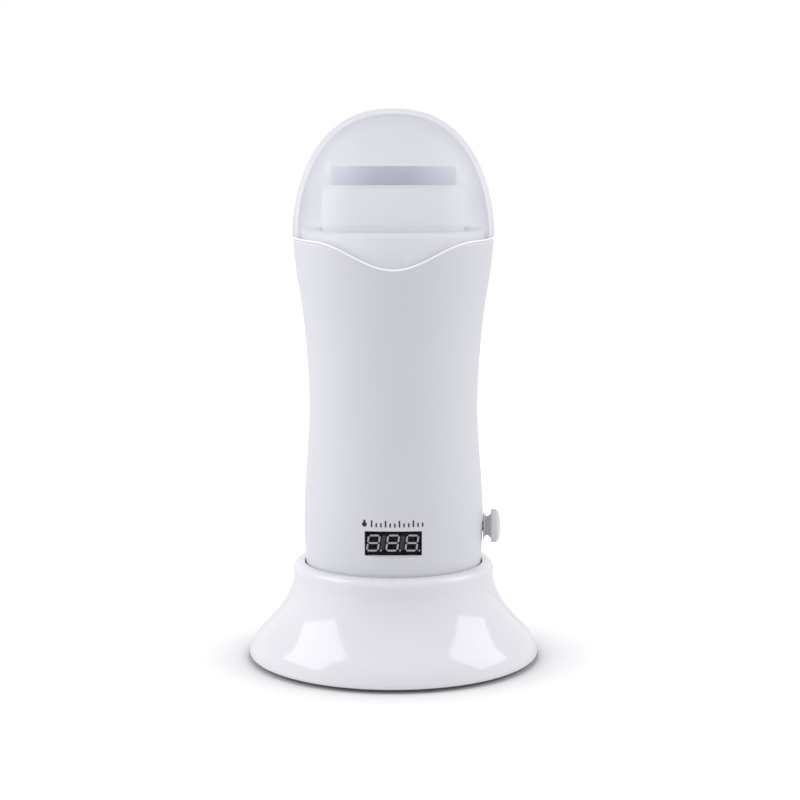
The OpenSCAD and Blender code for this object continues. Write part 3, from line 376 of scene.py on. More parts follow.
def refined(node, slot, bevel):
    """Stands for a CAD node with the same shape and softened edges."""
    piece = frame["nodes"][node].copy()
    piece.data = piece.data.copy()
    piece.name = node + "_detail"
    piece.data.name = piece.name
    for key in list(piece.keys()):
        del piece[key]
    piece.data.materials.clear()
    scene.collection.objects.link(piece)
    body = frame["nodes"][node]["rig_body"]
    piece.parent = None
    bm = bmesh.new()
    bm.from_mesh(piece.data)
    bmesh.ops.remove_doubles(bm, verts=bm.verts, dist=1e-6)
    bmesh.ops.dissolve_limit(
        bm, angle_limit=math.radians(0.5), verts=bm.verts, edges=bm.edges, delimit={"NORMAL"}
    )
    bm.to_mesh(piece.data)
    bm.free()
    if piece.data.has_custom_normals:
        piece.data.normals_split_custom_set([(0, 0, 0)] * len(piece.data.loops))
    step = piece.modifiers.new("soften", "BEVEL")
    step.width = bevel * MM
    step.segments = 2
    step.limit_method = "ANGLE"
    step.angle_limit = math.radians(40)
    step.use_clamp_overlap = True
    baked(piece)
    tidy(piece, 40)
    finish_piece(piece, body, slot, node)
    return piece


def finish_piece(piece, body, slot, *nodes):
    """Gives a piece its material and body, and hides the CAD nodes that it stands for."""
    piece.data.materials.clear()
    piece.data.materials.append(material(slot))
    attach(piece, body)
    if nodes:
        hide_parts(*nodes)


# ---- materials ----

FROSTED_SHADE = 0.06  # share of the light that one face of frosted plastic holds back
EDGE_GLOSS = 0.05  # gloss of frosted plastic seen along its surface


def shader(name, color, rough, metallic=0.0):
    mat = bpy.data.materials.new(name)
    mat.use_nodes = True
    bsdf = mat.node_tree.nodes["Principled BSDF"]
    bsdf.inputs["Base Color"].default_value = (*color, 1)
    bsdf.inputs["Roughness"].default_value = rough
    bsdf.inputs["Metallic"].default_value = metallic
    return mat, bsdf


def srgb(r, g, b):
    """The linear colour of one that is given as it looks, on a scale to 255."""
    return tuple(((v / 255 + 0.055) / 1.055) ** 2.4 for v in (r, g, b))


def noise(mat, scale):
    tree = mat.node_tree
    coord = tree.nodes.new("ShaderNodeTexCoord")
    tex = tree.nodes.new("ShaderNodeTexNoise")
    tex.inputs["Scale"].default_value = scale
    tex.inputs["Detail"].default_value = 3.0
    tree.links.new(coord.outputs["Object"], tex.inputs["Vector"])
    return tex.outputs["Fac"]


def vary_color(mat, bsdf, first, second, scale):
    """Lets the colour drift between two near tones."""
    tree = mat.node_tree
    ramp = tree.nodes.new("ShaderNodeValToRGB")
    ramp.color_ramp.elements[0].position = 0.35
    ramp.color_ramp.elements[1].position = 0.65
    ramp.color_ramp.elements[0].color = (*first, 1)
    ramp.color_ramp.elements[1].color = (*second, 1)
    tree.links.new(noise(mat, scale), ramp.inputs["Fac"])
    tree.links.new(ramp.outputs["Color"], bsdf.inputs["Base Color"])


def vary_rough(mat, bsdf, low, high, scale):
    tree = mat.node_tree
    step = tree.nodes.new("ShaderNodeMapRange")
    step.inputs["To Min"].default_value = low
    step.inputs["To Max"].default_value = high
    tree.links.new(noise(mat, scale), step.inputs["Value"])
    tree.links.new(step.outputs["Result"], bsdf.inputs["Roughness"])


def grain(mat, bsdf, scale, depth):
    """A fine moulded or brushed surface, with its depth in millimetres."""
    tree = mat.node_tree
    bump = tree.nodes.new("ShaderNodeBump")
    bump.inputs["Strength"].default_value = 0.3
    bump.inputs["Distance"].default_value = depth * MM
    tree.links.new(noise(mat, scale), bump.inputs["Height"])
    tree.links.new(bump.outputs["Normal"], bsdf.inputs["Normal"])


def plastic(name, tone, rough, drift=3, grain_scale=2600, grain_depth=0.02):
    """Moulded plastic of one tone, with slight drift, gloss changes and a fine surface."""
    mat, bsdf = shader(name, srgb(*tone), rough)
    darker = srgb(*[max(v - drift, 0) for v in tone])
    vary_color(mat, bsdf, darker, srgb(*tone), 28)
    vary_rough(mat, bsdf, rough - 0.03, rough + 0.04, 160)
    grain(mat, bsdf, grain_scale, grain_depth)
    return mat, bsdf


def satin_body():
    mat, bsdf = plastic("body_white", (226, 226, 230), 0.42, 2)
    bsdf.inputs["Specular IOR Level"].default_value = 0.45
    return mat


def polished_base():
    mat, bsdf = plastic("base_white", (236, 235, 239), 0.12, 2, 900, 0.004)
    bsdf.inputs["Coat Weight"].default_value = 0.35
    bsdf.inputs["Coat Roughness"].default_value = 0.05
    return mat


def remap(tree, source, low, high):
    """A map from 0..1 to low..high, where each end is a number or another socket."""
    step = tree.nodes.new("ShaderNodeMapRange")
    tree.links.new(source, step.inputs["Value"])
    for end, value in (("To Min", low), ("To Max", high)):
        if isinstance(value, (int, float)):
            step.inputs[end].default_value = value
        else:
            tree.links.new(value, step.inputs[end])
    return step.outputs["Result"]


def clear_plastic(name, tone, edge_shade_tone, alpha, edge_alpha, rough, gloss, painted_glow):
    """Frosted plastic: thin where it is seen square on, denser and duller at its edges, where a darker
    tone is painted shade.

    Only the side of a wall that faces the viewer shows, and light passes nearly unhindered.
    The painted glow is a constant emission in the plastic's tone, which brightens it though it is no
    lamp.
    """
    mat, bsdf = shader(name, srgb(*tone), rough)
    tree = mat.node_tree
    link = tree.links.new
    behind = tree.nodes.new("ShaderNodeNewGeometry").outputs["Backfacing"]
    facing = tree.nodes.new("ShaderNodeLayerWeight")
    facing.inputs["Blend"].default_value = 0.35
    path = tree.nodes.new("ShaderNodeLightPath")
    lighting = tree.nodes.new("ShaderNodeMath")
    lighting.operation = "MAXIMUM"
    link(path.outputs["Is Shadow Ray"], lighting.inputs[0])
    link(path.outputs["Is Diffuse Ray"], lighting.inputs[1])
    seen = remap(tree, facing.outputs["Facing"], alpha, edge_alpha)
    open_to_light = remap(tree, lighting.outputs[0], seen, FROSTED_SHADE)
    link(remap(tree, behind, open_to_light, 0.0), bsdf.inputs["Alpha"])
    sheen = remap(tree, facing.outputs["Facing"], gloss, EDGE_GLOSS)
    link(remap(tree, behind, sheen, 0.0), bsdf.inputs["Specular IOR Level"])
    # painted shade: the colour darkens towards the edges that are seen side on
    colors = tree.nodes.new("ShaderNodeMix")
    colors.data_type = "RGBA"
    colors.inputs["A"].default_value = (*srgb(*tone), 1)
    colors.inputs["B"].default_value = (*srgb(*edge_shade_tone), 1)
    link(facing.outputs["Facing"], colors.inputs["Factor"])
    link(colors.outputs["Result"], bsdf.inputs["Base Color"])
    # painted glow: the plastic gives off light of its own, though it is no lamp
    bsdf.inputs["Emission Color"].default_value = (*srgb(*tone), 1)
    bsdf.inputs["Emission Strength"].default_value = painted_glow
    grain(mat, bsdf, 1500, 0.01)
    return mat


def metal(name, tone, rough, scale=400):
    mat, bsdf = shader(name, srgb(*tone), rough, 1.0)
    vary_rough(mat, bsdf, rough - 0.08, rough + 0.1, scale)
    grain(mat, bsdf, scale * 3, 0.01)
    return mat


def display_black():
    mat, bsdf = plastic("display_face", (24, 24, 28), 0.5, 4)
    bsdf.inputs["Specular IOR Level"].default_value = 0.1
    return mat


def window():
    mat, bsdf = shader("window_clear", srgb(18, 18, 22), 0.1)
    bsdf.inputs["Alpha"].default_value = 0.16
    bsdf.inputs["Specular IOR Level"].default_value = 0.25
    grain(mat, bsdf, 600, 0.002)
    return mat


def board():
    mat, bsdf = shader("board_green", srgb(24, 92, 58), 0.35)
    vary_color(mat, bsdf, srgb(20, 80, 50), srgb(28, 102, 66), 300)
    grain(mat, bsdf, 900, 0.02)
    return mat


def wax():
    mat, bsdf = shader("wax", srgb(196, 200, 214), 0.35)
    bsdf.inputs["Subsurface Weight"].default_value = 0.3
    bsdf.inputs["Subsurface Radius"].default_value = (0.004, 0.004, 0.005)
    vary_color(mat, bsdf, srgb(190, 194, 210), srgb(202, 206, 218), 60)
    grain(mat, bsdf, 300, 0.05)
    return mat


def roller_painted_highlights():
    """Smooth plastic, darker in the middle and lighter towards the roller's ends as painted highlights.
    """
    mat, bsdf = plastic("roller_grey", (176, 181, 200), 0.3)
    tree = mat.node_tree
    link = tree.links.new
    coord = tree.nodes.new("ShaderNodeTexCoord")
    split = tree.nodes.new("ShaderNodeSeparateXYZ")
    from_middle = tree.nodes.new("ShaderNodeMath")
    from_middle.operation = "ABSOLUTE"
    fade = tree.nodes.new("ShaderNodeMapRange")
    fade.interpolation_type = "SMOOTHSTEP"
    fade.inputs["From Min"].default_value = 4 * MM
    fade.inputs["From Max"].default_value = 24 * MM
    # painted highlights: lighter towards both ends, darker in the middle
    tones = tree.nodes.new("ShaderNodeMix")
    tones.data_type = "RGBA"
    tones.inputs["A"].default_value = (*srgb(140, 147, 168), 1)
    tones.inputs["B"].default_value = (*srgb(198, 202, 216), 1)
    link(coord.outputs["Object"], split.inputs["Vector"])
    link(split.outputs["X"], from_middle.inputs[0])
    link(from_middle.outputs[0], fade.inputs["Value"])
    link(fade.outputs["Result"], tones.inputs["Factor"])
    link(tones.outputs["Result"], bsdf.inputs["Base Color"])
    return mat


MAKERS = {
    "body_white": satin_body,
    "base_white": polished_base,
    # face tone, edge tone darkened as painted shade, alphas, roughness, gloss, then the painted glow
    "cap_frosted": lambda: clear_plastic(
        "cap_frosted", (234, 234, 241), (176, 177, 187), 0.42, 0.8, 0.26, 0.4, 0.04
    ),
    "collar_white": lambda: plastic("collar_white", (244, 244, 246), 0.4)[0],
    "liner_grey": lambda: plastic("liner_grey", (190, 190, 191), 0.5)[0],
    "knob_white": lambda: plastic("knob_white", (222, 221, 222), 0.48)[0],
    "black_plastic": lambda: plastic("black_plastic", (26, 26, 28), 0.45)[0],
    "display_face": display_black,
    "segment_grey": lambda: plastic("segment_grey", (212, 212, 214), 0.4)[0],
    "window_clear": window,
    "board_green": board,
    "component_dark": lambda: plastic("component_dark", (66, 66, 71), 0.5)[0],
    "aluminium_plate": lambda: metal("aluminium_plate", (205, 206, 208), 0.34),
    "heater_ceramic": lambda: plastic("heater_ceramic", (226, 222, 214), 0.7)[0],
    "steel_spring": lambda: metal("steel_spring", (190, 191, 194), 0.3),
    "steel_zinc": lambda: metal("steel_zinc", (186, 188, 192), 0.32),
    "brass_contact": lambda: metal("brass_contact", (206, 170, 96), 0.28),
    "lead_insulation": lambda: plastic("lead_insulation", (170, 44, 36), 0.55)[0],
    "foot_rubber": lambda: plastic("foot_rubber", (46, 46, 48), 0.75)[0],
    # face tone, edge tone darkened as painted shade, alphas, roughness, gloss, then the painted glow
    "cartridge_clear": lambda: clear_plastic(
        "cartridge_clear", (240, 240, 244), (226, 226, 231), 0.8, 0.95, 0.25, 0.5, 0.1
    ),
    "wax": wax,
    "roller_grey": roller_painted_highlights,
}
MATERIALS = {}


def material(slot):
    if slot not in MATERIALS:
        MATERIALS[slot] = MAKERS[slot]()
    return MATERIALS[slot]


# ---- camera, light and floor ----


def make_camera():
    data = bpy.data.cameras.new("camera")
    data.lens = CAMERA_LENS
    data.sensor_width = 36
    camera = bpy.data.objects.new("camera", data)
    camera.location = CAMERA_AT
    camera.rotation_euler = (math.radians(90 - CAMERA_DROP), 0, 0)
    scene.collection.objects.link(camera)
    scene.camera = camera


def area_light(name, turn, rise, roll, distance, width, height, power, reflected):
    """A soft box aimed at the object, placed by its directions from the front and the floor."""
    turn, rise = math.radians(turn), math.radians(rise)
    away = Vector((math.sin(turn) * math.cos(rise), -math.cos(turn) * math.cos(rise), math.sin(rise)))
    data = bpy.data.lights.new(name, "AREA")
    data.shape = "RECTANGLE"
    data.size, data.size_y = width, height
    data.energy = power
    lamp = bpy.data.objects.new(name, data)
    lamp.location = away * distance
    facing = (-away).to_track_quat("-Z", "Y") @ Quaternion((0, 0, 1), math.radians(roll))
    lamp.rotation_euler = facing.to_euler()
    lamp.visible_glossy = reflected
    scene.collection.objects.link(lamp)


def make_world():
    """White to the camera and in reflections, and a soft even light on surfaces."""
    world = bpy.data.worlds.new("studio")
    world.use_nodes = True
    scene.world = world
    tree = world.node_tree
    tree.nodes.clear()
    path = tree.nodes.new("ShaderNodeLightPath")
    seen = tree.nodes.new("ShaderNodeMath")
    seen.operation = "MAXIMUM"
    both = tree.nodes.new("ShaderNodeMath")
    both.operation = "MAXIMUM"
    ambient = tree.nodes.new("ShaderNodeBackground")
    ambient.inputs["Color"].default_value = (0.94, 0.95, 1.0, 1)
    ambient.inputs["Strength"].default_value = AMBIENT
    white = tree.nodes.new("ShaderNodeBackground")
    white.inputs["Color"].default_value = (1, 1, 1, 1)
    white.inputs["Strength"].default_value = 1.0
    mix = tree.nodes.new("ShaderNodeMixShader")
    out = tree.nodes.new("ShaderNodeOutputWorld")
    link = tree.links.new
    link(path.outputs["Is Camera Ray"], seen.inputs[0])
    link(path.outputs["Is Transmission Ray"], seen.inputs[1])
    link(seen.outputs[0], both.inputs[0])
    link(path.outputs["Is Glossy Ray"], both.inputs[1])
    link(both.outputs[0], mix.inputs["Fac"])
    link(ambient.outputs[0], mix.inputs[1])
    link(white.outputs[0], mix.inputs[2])
    link(mix.outputs[0], out.inputs["Surface"])


def make_floor():
    """A pale floor that reads white to the camera, apart from a shadow close to the object."""
    corners = [(-1, -1, 0), (1, -1, 0), (1, 1, 0), (-1, 1, 0)]
    floor = add_piece("floor", FLOOR_HALF * np.array(corners), [(0, 1, 2, 3)])
    mat, bsdf = shader("floor", (FLOOR_TONE,) * 3, 0.9)
    bsdf.inputs["Specular IOR Level"].default_value = 0.0
    bsdf.inputs["Emission Color"].default_value = (1, 1, 1, 1)
    tree = mat.node_tree
    path = tree.nodes.new("ShaderNodeLightPath")
    near = tree.nodes.new("ShaderNodeAmbientOcclusion")
    near.samples = 16
    near.inputs["Distance"].default_value = SHADOW_REACH * MM
    near.inputs["Normal"].default_value = (0, math.sin(SHADOW_LEAN), math.cos(SHADOW_LEAN))
    spread = tree.nodes.new("ShaderNodeMapRange")
    spread.inputs["From Min"].default_value = SHADOW_DARK
    spread.inputs["From Max"].default_value = SHADOW_LIGHT
    spread.inputs["To Min"].default_value = 0.0
    spread.inputs["To Max"].default_value = FLOOR_GLOW
    glow = tree.nodes.new("ShaderNodeMath")
    glow.operation = "MULTIPLY"
    tone = tree.nodes.new("ShaderNodeMix")
    tone.data_type = "RGBA"
    tone.inputs["A"].default_value = (*(FLOOR_TONE,) * 3, 1)
    tone.inputs["B"].default_value = (*(FLOOR_SEEN_TONE,) * 3, 1)
    link = tree.links.new
    link(near.outputs["AO"], spread.inputs["Value"])
    link(spread.outputs["Result"], glow.inputs[0])
    link(path.outputs["Is Camera Ray"], glow.inputs[1])
    link(glow.outputs[0], bsdf.inputs["Emission Strength"])
    link(path.outputs["Is Camera Ray"], tone.inputs["Factor"])
    link(tone.outputs["Result"], bsdf.inputs["Base Color"])
    floor.data.materials.append(mat)


make_camera()
make_world()
make_floor()
scene.view_settings.view_transform = "Standard"
for softbox, setting in SOFTBOXES.items():
    area_light(softbox, *setting)


# ---- docking base ----


def base_outline():
    """The base's outer line, from the lowest edge to the rim."""
    side = (BASE_R, FOOT_LIFT + LIP_ROUND)
    slope = (BASE_EDGE_R - RIM_R) * FLARE_SWEEP / (FLARE_TOP_Z - BASE_EDGE_Z)
    bend_r = BASE_R - 0.4
    bend = (bend_r, BASE_EDGE_Z - (bend_r - BASE_EDGE_R) / slope)
    edge = (BASE_EDGE_R, BASE_EDGE_Z)
    lip = arc((BASE_R - LIP_ROUND, FOOT_LIFT + LIP_ROUND), LIP_ROUND, -90, 0, 8)
    shoulder = [bezier(side, bend, edge, t) for t in np.linspace(0, 1, 13)[1:-1]]
    t = np.linspace(0, 1, 41)
    flare = np.stack(
        [
            RIM_R + (BASE_EDGE_R - RIM_R) * (1 - t) ** FLARE_SWEEP,
            BASE_EDGE_Z + t * (FLARE_TOP_Z - BASE_EDGE_Z),
        ],
        1,
    )
    rim = arc((RIM_R - RIM_ROUND, RIM_Z - RIM_ROUND), RIM_ROUND, 0, 90, 14)
    return np.concatenate([lip, shoulder, flare, rim])


def make_base():
    outline = base_outline()
    mouth_r = body_r(RIM_Z - HEATER_Z) + MOUTH_GAP
    mouth = arc((mouth_r + MOUTH_ROUND, RIM_Z - MOUTH_ROUND), MOUTH_ROUND, 90, 180, 8)
    heights = np.linspace(RIM_Z - MOUTH_ROUND - DOCK_CORNER, DOCK_FLOOR_Z + DOCK_CORNER, 24)
    floor_r = body_r(0) + DOCK_GAP
    pocket = [(body_r(z - HEATER_Z) + DOCK_GAP, z) for z in heights]
    corner = arc((floor_r - DOCK_CORNER, DOCK_FLOOR_Z + DOCK_CORNER), DOCK_CORNER, 0, -90, 6)
    floor = [(r, DOCK_FLOOR_Z) for r in np.linspace(floor_r - 3, 0, 6)]
    outer = [oval_ring(r, z, BASE_SHARE) for r, z in outline]
    outer += [oval_ring(r, z, BODY_SHARE) for r, z in [*mouth, *pocket, *corner, *floor]]
    cavity = [(BASE_R - BASE_WALL, FOOT_LIFT), (BASE_R - BASE_WALL, BOTTOM_TOP_Z)]
    cavity += [(r - BASE_WALL, z - 0.5) for r, z in outline if BOTTOM_TOP_Z + 1.5 < z < FLARE_TOP_Z]
    cup = [(r + DOCK_WALL, z) for r, z in pocket if z < FLARE_TOP_Z - 0.5]
    under = [(r, DOCK_FLOOR_Z - DOCK_WALL) for r in np.linspace(floor_r + DOCK_WALL, 0, 6)]
    cup_rows = 36
    inner = [oval_ring(r, z, BASE_SHARE) for r, z in resample(cavity, len(outer) - cup_rows)]
    inner += [oval_ring(r, z, BODY_SHARE) for r, z in resample(cup + under, cup_rows)]
    piece = solid("base_shell_detail", np.array(outer), np.array(inner))
    half, far = NOTCH_HALF + NOTCH_WALL, BASE_R + 22
    low = (-half, NOTCH_Y - NOTCH_WALL, BOTTOM_TOP_Z + 0.01)
    walls = block("notch_walls", low, (half, far, NOTCH_TOP_Z))
    core_line = [(0, FOOT_LIFT)] + [(r - BASE_WALL / 2, z) for r, z in outline] + [(0, RIM_Z)]
    core = turned("notch_core", core_line, COLUMNS)
    for v in core.data.vertices:
        v.co.y *= BASE_SHARE
    combine(walls, [core], "INTERSECT")
    combine(piece, [walls], "UNION")
    nose = stadium_prism("nose_cut", NOSE_W, NOSE_D, DOCK_FLOOR_Z - 5, DOCK_FLOOR_Z + 5)
    low = (-NOTCH_HALF, NOTCH_Y, BOTTOM_TOP_Z + NOTCH_WALL)
    notch = block("notch_cut", low, (NOTCH_HALF, far, OUTSIDE))
    socket = block("socket_cut", (-INLET_HALF[0], 31.9, 1.0), (INLET_HALF[0], NOTCH_Y + 1, 15.5))
    cut(piece, nose, notch, socket)
    finish_piece(piece, "base", "base_white", "base_shell")


def stadium_prism(name, w, d, low, high):
    """A prism with the outline of a two-pin connector."""
    columns = 96
    rings = [box_ring(w, d, d / 2 - 1e-4, z, columns) for z in (low, high)]
    points = np.concatenate(rings)
    faces = [(k, (k + 1) % columns, columns + (k + 1) % columns, columns + k) for k in range(columns)]
    faces.append(tuple(range(columns))[::-1])
    faces.append(tuple(range(columns, 2 * columns)))
    return add_piece(name, points, faces)


# ---- heater body ----


def wall_columns(front, line):
    """Rows of points for half the body, from a function that gives one column's line."""
    start, columns = 180.0 if front else 0.0, COLUMNS // 2
    return np.stack([line(math.radians(start + 180.0 * k / columns)) for k in range(columns + 1)], 1)


def edge_point(a, inset, shift):
    """Where the parting line crosses the body's surface at an angle."""
    h = PARTING_H
    for _ in range(12):
        h = float(parting_h((body_r(h) - inset) * math.cos(a), shift))
    return h


def spot(a, r, h):
    """A place on the heater at an angle, a radius and a height above its foot."""
    return (r * math.cos(a), BODY_SHARE * r * math.sin(a), HEATER_Z + h)


def make_shell(front):
    """Half of the body, with a shallow groove where it meets the other half."""
    name = "front_shell" if front else "rear_shell"
    lip = 1.2
    foot = arc((body_r(FOOT_ROUND) - FOOT_ROUND, FOOT_ROUND), FOOT_ROUND, -90, 0, 8)

    def outer_line(a):
        top = edge_point(a, 0, 0) - lip
        heights = FOOT_ROUND + (top - FOOT_ROUND) * np.linspace(0, 1, 120)[1:]
        line = [(r, 0.0) for r in np.linspace(0, foot[0][0], 5)[:-1]] + [tuple(p) for p in foot]
        line += [(body_r(h), h) for h in heights]
        middle = (body_r(top) - lip, top)
        line += [tuple(p) for p in arc(middle, lip, 0, 90, 4)[1:]]
        return [spot(a, r, h) for r, h in line]

    def inner_line(a):
        top = edge_point(a, 0, 0)
        heights = BODY_WALL + (top - BODY_WALL) * np.linspace(0, 1, 128)
        line = [(r, BODY_WALL) for r in np.linspace(0, body_r(BODY_WALL) - BODY_WALL, 9)[:-1]]
        line += [(body_r(h) - BODY_WALL, h) for h in heights]
        return [spot(a, r, h) for r, h in line]

    outer = wall_columns(front, outer_line)
    inner = wall_columns(front, inner_line)
    foot_rows, groove_share = 8, 0.14 / 36
    for column in (0, -1):
        outer[foot_rows:, column, 0] *= 1 - groove_share
    piece = solid(name + "_detail", outer, inner, wrap=False)
    half_w, half_d = INLET_HALF
    low, high = (-half_w, -half_d, HEATER_Z - 1), (half_w, half_d, HEATER_Z + 2 * BODY_WALL)
    shaft = pin("shaft_cut", (20, 0, HEATER_Z + CONTROL_H), ALONG_X, SHAFT_D / 2 + SHAFT_GAP, 40)
    cutters = [shaft, block("inlet_cut", low, high)]
    if front:
        half_w, half_t = DISPLAY_W / 2 + FIT_GAP, DISPLAY_TALL / 2 + FIT_GAP
        middle = HEATER_Z + CONTROL_H + DISPLAY_SHIFT
        low, high = (-half_w, -OUTSIDE, middle - half_t), (half_w, -22, middle + half_t)
        cutters.append(block("display_cut", low, high))
        low, high = (-half_w, WINDOW_Y - 5, middle - half_t), (half_w, WINDOW_Y, middle + half_t)
        cutters.append(block("display_flare", low, high, (0.5, 2.75, 0.75)))
    else:
        for x in (-SCREW_X, SCREW_X):
            for h in SCREW_HEIGHTS:
                cutters.append(pin("screw_cut", (x, 12, HEATER_Z + h), ALONG_Y, SCREW_HOLE_R, 40))
    cut(piece, *cutters)
    finish_piece(piece, "heater", "body_white", name)


def flat_plate(name, outline, front_y, back_y, slot, *nodes):
    """A thin plate with its outline given in x and z, turned to the front."""
    x, z = np.array(outline, float).T
    count = len(x)
    rings = [np.stack([x, np.broadcast_to(y, x.shape), z], 1) for y in (front_y, back_y)]
    faces = [tuple(range(count)), tuple(range(2 * count - 1, count - 1, -1))]
    faces += [(k, count + k, count + (k + 1) % count, (k + 1) % count) for k in range(count)]
    finish_piece(add_piece(name, np.concatenate(rings), faces), "heater", slot, *nodes)


def make_digits():
    """Three seven-segment digits of separate mitred bars, their points, and the grey between them."""
    half_w, half_t = (DIGIT_W - STROKE) / 2, (DIGIT_TALL - STROKE) / 2
    ends = {  # the bars' ends on a digit
        "top": ((-1, 1), (1, 1)),
        "middle": ((-1, 0), (1, 0)),
        "bottom": ((-1, -1), (1, -1)),
        "upper_left": ((-1, 0), (-1, 1)),
        "upper_right": ((1, 0), (1, 1)),
        "lower_left": ((-1, -1), (-1, 0)),
        "lower_right": ((1, -1), (1, 0)),
    }
    lean = math.tan(math.radians(DIGIT_LEAN))
    point_r, point_gap = 0.34, 1.15
    middle = HEATER_Z + CONTROL_H + DISPLAY_SHIFT
    front, back = WINDOW_Y + WINDOW_T + 0.02, WINDOW_Y + WINDOW_T + 0.2

    def plate(name, outline, x, slot, *nodes):
        outline = [(x + px + pz * lean, middle + pz) for px, pz in outline]
        flat_plate(name, outline, front, back, slot, *nodes)

    for digit in (-1, 0, 1):
        x = digit * DIGIT_PITCH + DIGIT_OFFSET
        for bar, (start, end) in ends.items():
            a = np.array([start[0] * half_w, start[1] * half_t])
            b = np.array([end[0] * half_w, end[1] * half_t])
            along = (b - a) / np.linalg.norm(b - a)
            side = np.array([-along[1], along[0]]) * STROKE / 2
            tip, shoulder = along * BAR_GAP, along * (BAR_GAP + STROKE / 2)
            outline = [a + tip, a + shoulder + side, b - shoulder + side]
            outline += [b - tip, b - shoulder - side, a + shoulder - side]
            name = "digit_%d_%s" % (digit + 2, bar)
            plate(name, outline, x, "segment_grey", "display_digits")
        point = arc((half_w + point_gap, -half_t), point_r, 0, 345, 15)
        plate("digit_%d_point" % (digit + 2), point, x, "segment_grey", "display_digits")
    half, low = 0.75, -2.6
    bar = [(-half, low), (half, low), (half, half_t), (-half, half_t)]
    for k, x in enumerate((-DIGIT_PITCH / 2, DIGIT_PITCH / 2)):
        plate("grey_bar_%d" % (k + 1), bar, x + DIGIT_OFFSET, "component_dark")


def make_print():
    """A thermometer sign and a row of graduation marks above the display."""
    proud, sunk, low_z, top_z = 0.04, 0.3, 59.6, 62.4
    first_x, pitch, half, long_mark, short_mark = -8.4, 1.8, 0.3, 2.6, 1.6

    def plate(name, outline):
        x, z = np.array(outline, float).T
        y = -BODY_SHARE * np.sqrt(body_r(z - HEATER_Z) ** 2 - x**2)
        flat_plate(name, outline, y - proud, y + sunk, "black_plastic")

    for k in range(12):
        x, high_z = first_x + pitch * k, low_z + (short_mark if k % 3 else long_mark)
        box = [(x - half, low_z), (x + half, low_z), (x + half, high_z), (x - half, high_z)]
        plate("mark_%02d" % (k + 1), box)
    bulb, stem, neck_x = 0.95, 0.42, -11.2
    angle = math.degrees(math.acos(stem / bulb))
    sign = [(neck_x + x, low_z + bulb + z) for x, z in arc((0, 0), bulb, 180 - angle, 360 + angle, 20)]
    sign += [(neck_x + x, top_z - stem + z) for x, z in arc((0, 0), stem, 0, 180, 8)]
    plate("thermometer_sign", sign)


def make_cap():
    """The dome with its wavy lower edge, an even wall and a slightly rounded lip."""
    gap, lip = 0.08, 0.15
    dome = dome_line(0)
    inner_dome = dome_line(CAP_WALL)

    def column(a, inset):
        low = edge_point(a, inset, gap) + (lip if not inset else 0)
        heights = np.linspace(low, SHOULDER_H, 28)[:-1]
        line = [(body_r(h) - inset, h) for h in heights]
        line += [tuple(p) for p in (inner_dome if inset else dome)]
        if not inset:
            middle = (body_r(low) - lip, low)
            line = [tuple(p) for p in arc(middle, lip, -90, 0, 5)[:-1]] + line
        else:
            line = [line[0]] * 5 + line
        return [spot(a, r, h) for r, h in line]

    angles = [2 * math.pi * k / COLUMNS for k in range(COLUMNS)]
    outer = np.stack([column(a, 0) for a in angles], 1)
    inner = np.stack([column(a, CAP_WALL) for a in angles], 1)
    piece = solid("dome_cap_detail", outer, inner)
    finish_piece(piece, "cap", "cap_frosted", "dome_cap")


def make_cap_painted_highlight():
    """A thin glowing bead along the cap's lower edge: a painted highlight line."""
    r, sides, rise, sunk = 0.3, 8, 0.35, 0.14
    rings = []
    for k in range(COLUMNS):
        a = 2 * math.pi * k / COLUMNS
        h = edge_point(a, 0, rise)
        middle = Vector(spot(a, float(body_r(h)) - sunk, h))
        out = Vector((BODY_SHARE * math.cos(a), math.sin(a), 0)).normalized()
        turn = [2 * math.pi * j / sides for j in range(sides)]
        rings.append([middle + out * r * math.cos(t) + Vector((0, 0, r * math.sin(t))) for t in turn])
    rings.append(rings[0])
    points = np.array(rings).reshape(-1, 3)
    faces = []
    for i in range(0, COLUMNS * sides, sides):
        for j in range(sides):
            m = (j + 1) % sides
            faces.append((i + j, i + m, i + sides + m, i + sides + j))
    piece = add_piece("cap_painted_highlight", points, faces)
    finish_piece(piece, "cap", "cap_frosted")
    mat, bsdf = plastic("cap_painted_highlight", (246, 246, 250), 0.3)
    # painted highlight: the bead gives off light, though it is no lamp
    bsdf.inputs["Emission Color"].default_value = (1, 1, 1, 1)
    bsdf.inputs["Emission Strength"].default_value = 0.22
    piece.data.materials[0] = mat


def make_tab():
    """The small raised tab on the tongue of the cap."""
    w, tall, proud, r, edge, sunk, count = 7.4, 2.8, 0.75, 0.5, 0.25, 0.3, 64
    middle_h = PARTING_H - DIP_DEPTH + PARTING_GAP + 4.2
    rings = []
    for a in np.radians(np.linspace(0, 90, 7)):
        shrink = edge * (1 - math.cos(a))
        rise = (proud + sunk) * math.sin(a) - sunk
        flat = box_ring(w - 2 * shrink, tall - 2 * shrink, r, 0, count)
        x, h = flat[:, 0], middle_h + flat[:, 1]
        y = -BODY_SHARE * np.sqrt(body_r(h) ** 2 - x**2) - rise
        rings.append(np.stack([x, y, HEATER_Z + h], 1))
    points = np.concatenate(rings)
    faces = []
    for i in range(len(rings) - 1):
        for k in range(count):
            m = (k + 1) % count
            faces.append((i * count + k, i * count + m, (i + 1) * count + m, (i + 1) * count + k))
    faces.append(tuple(range(count))[::-1])
    faces.append(tuple(range((len(rings) - 1) * count, len(rings) * count)))
    piece = add_piece("cap_tab", points, faces)
    finish_piece(piece, "cap", "cap_frosted")


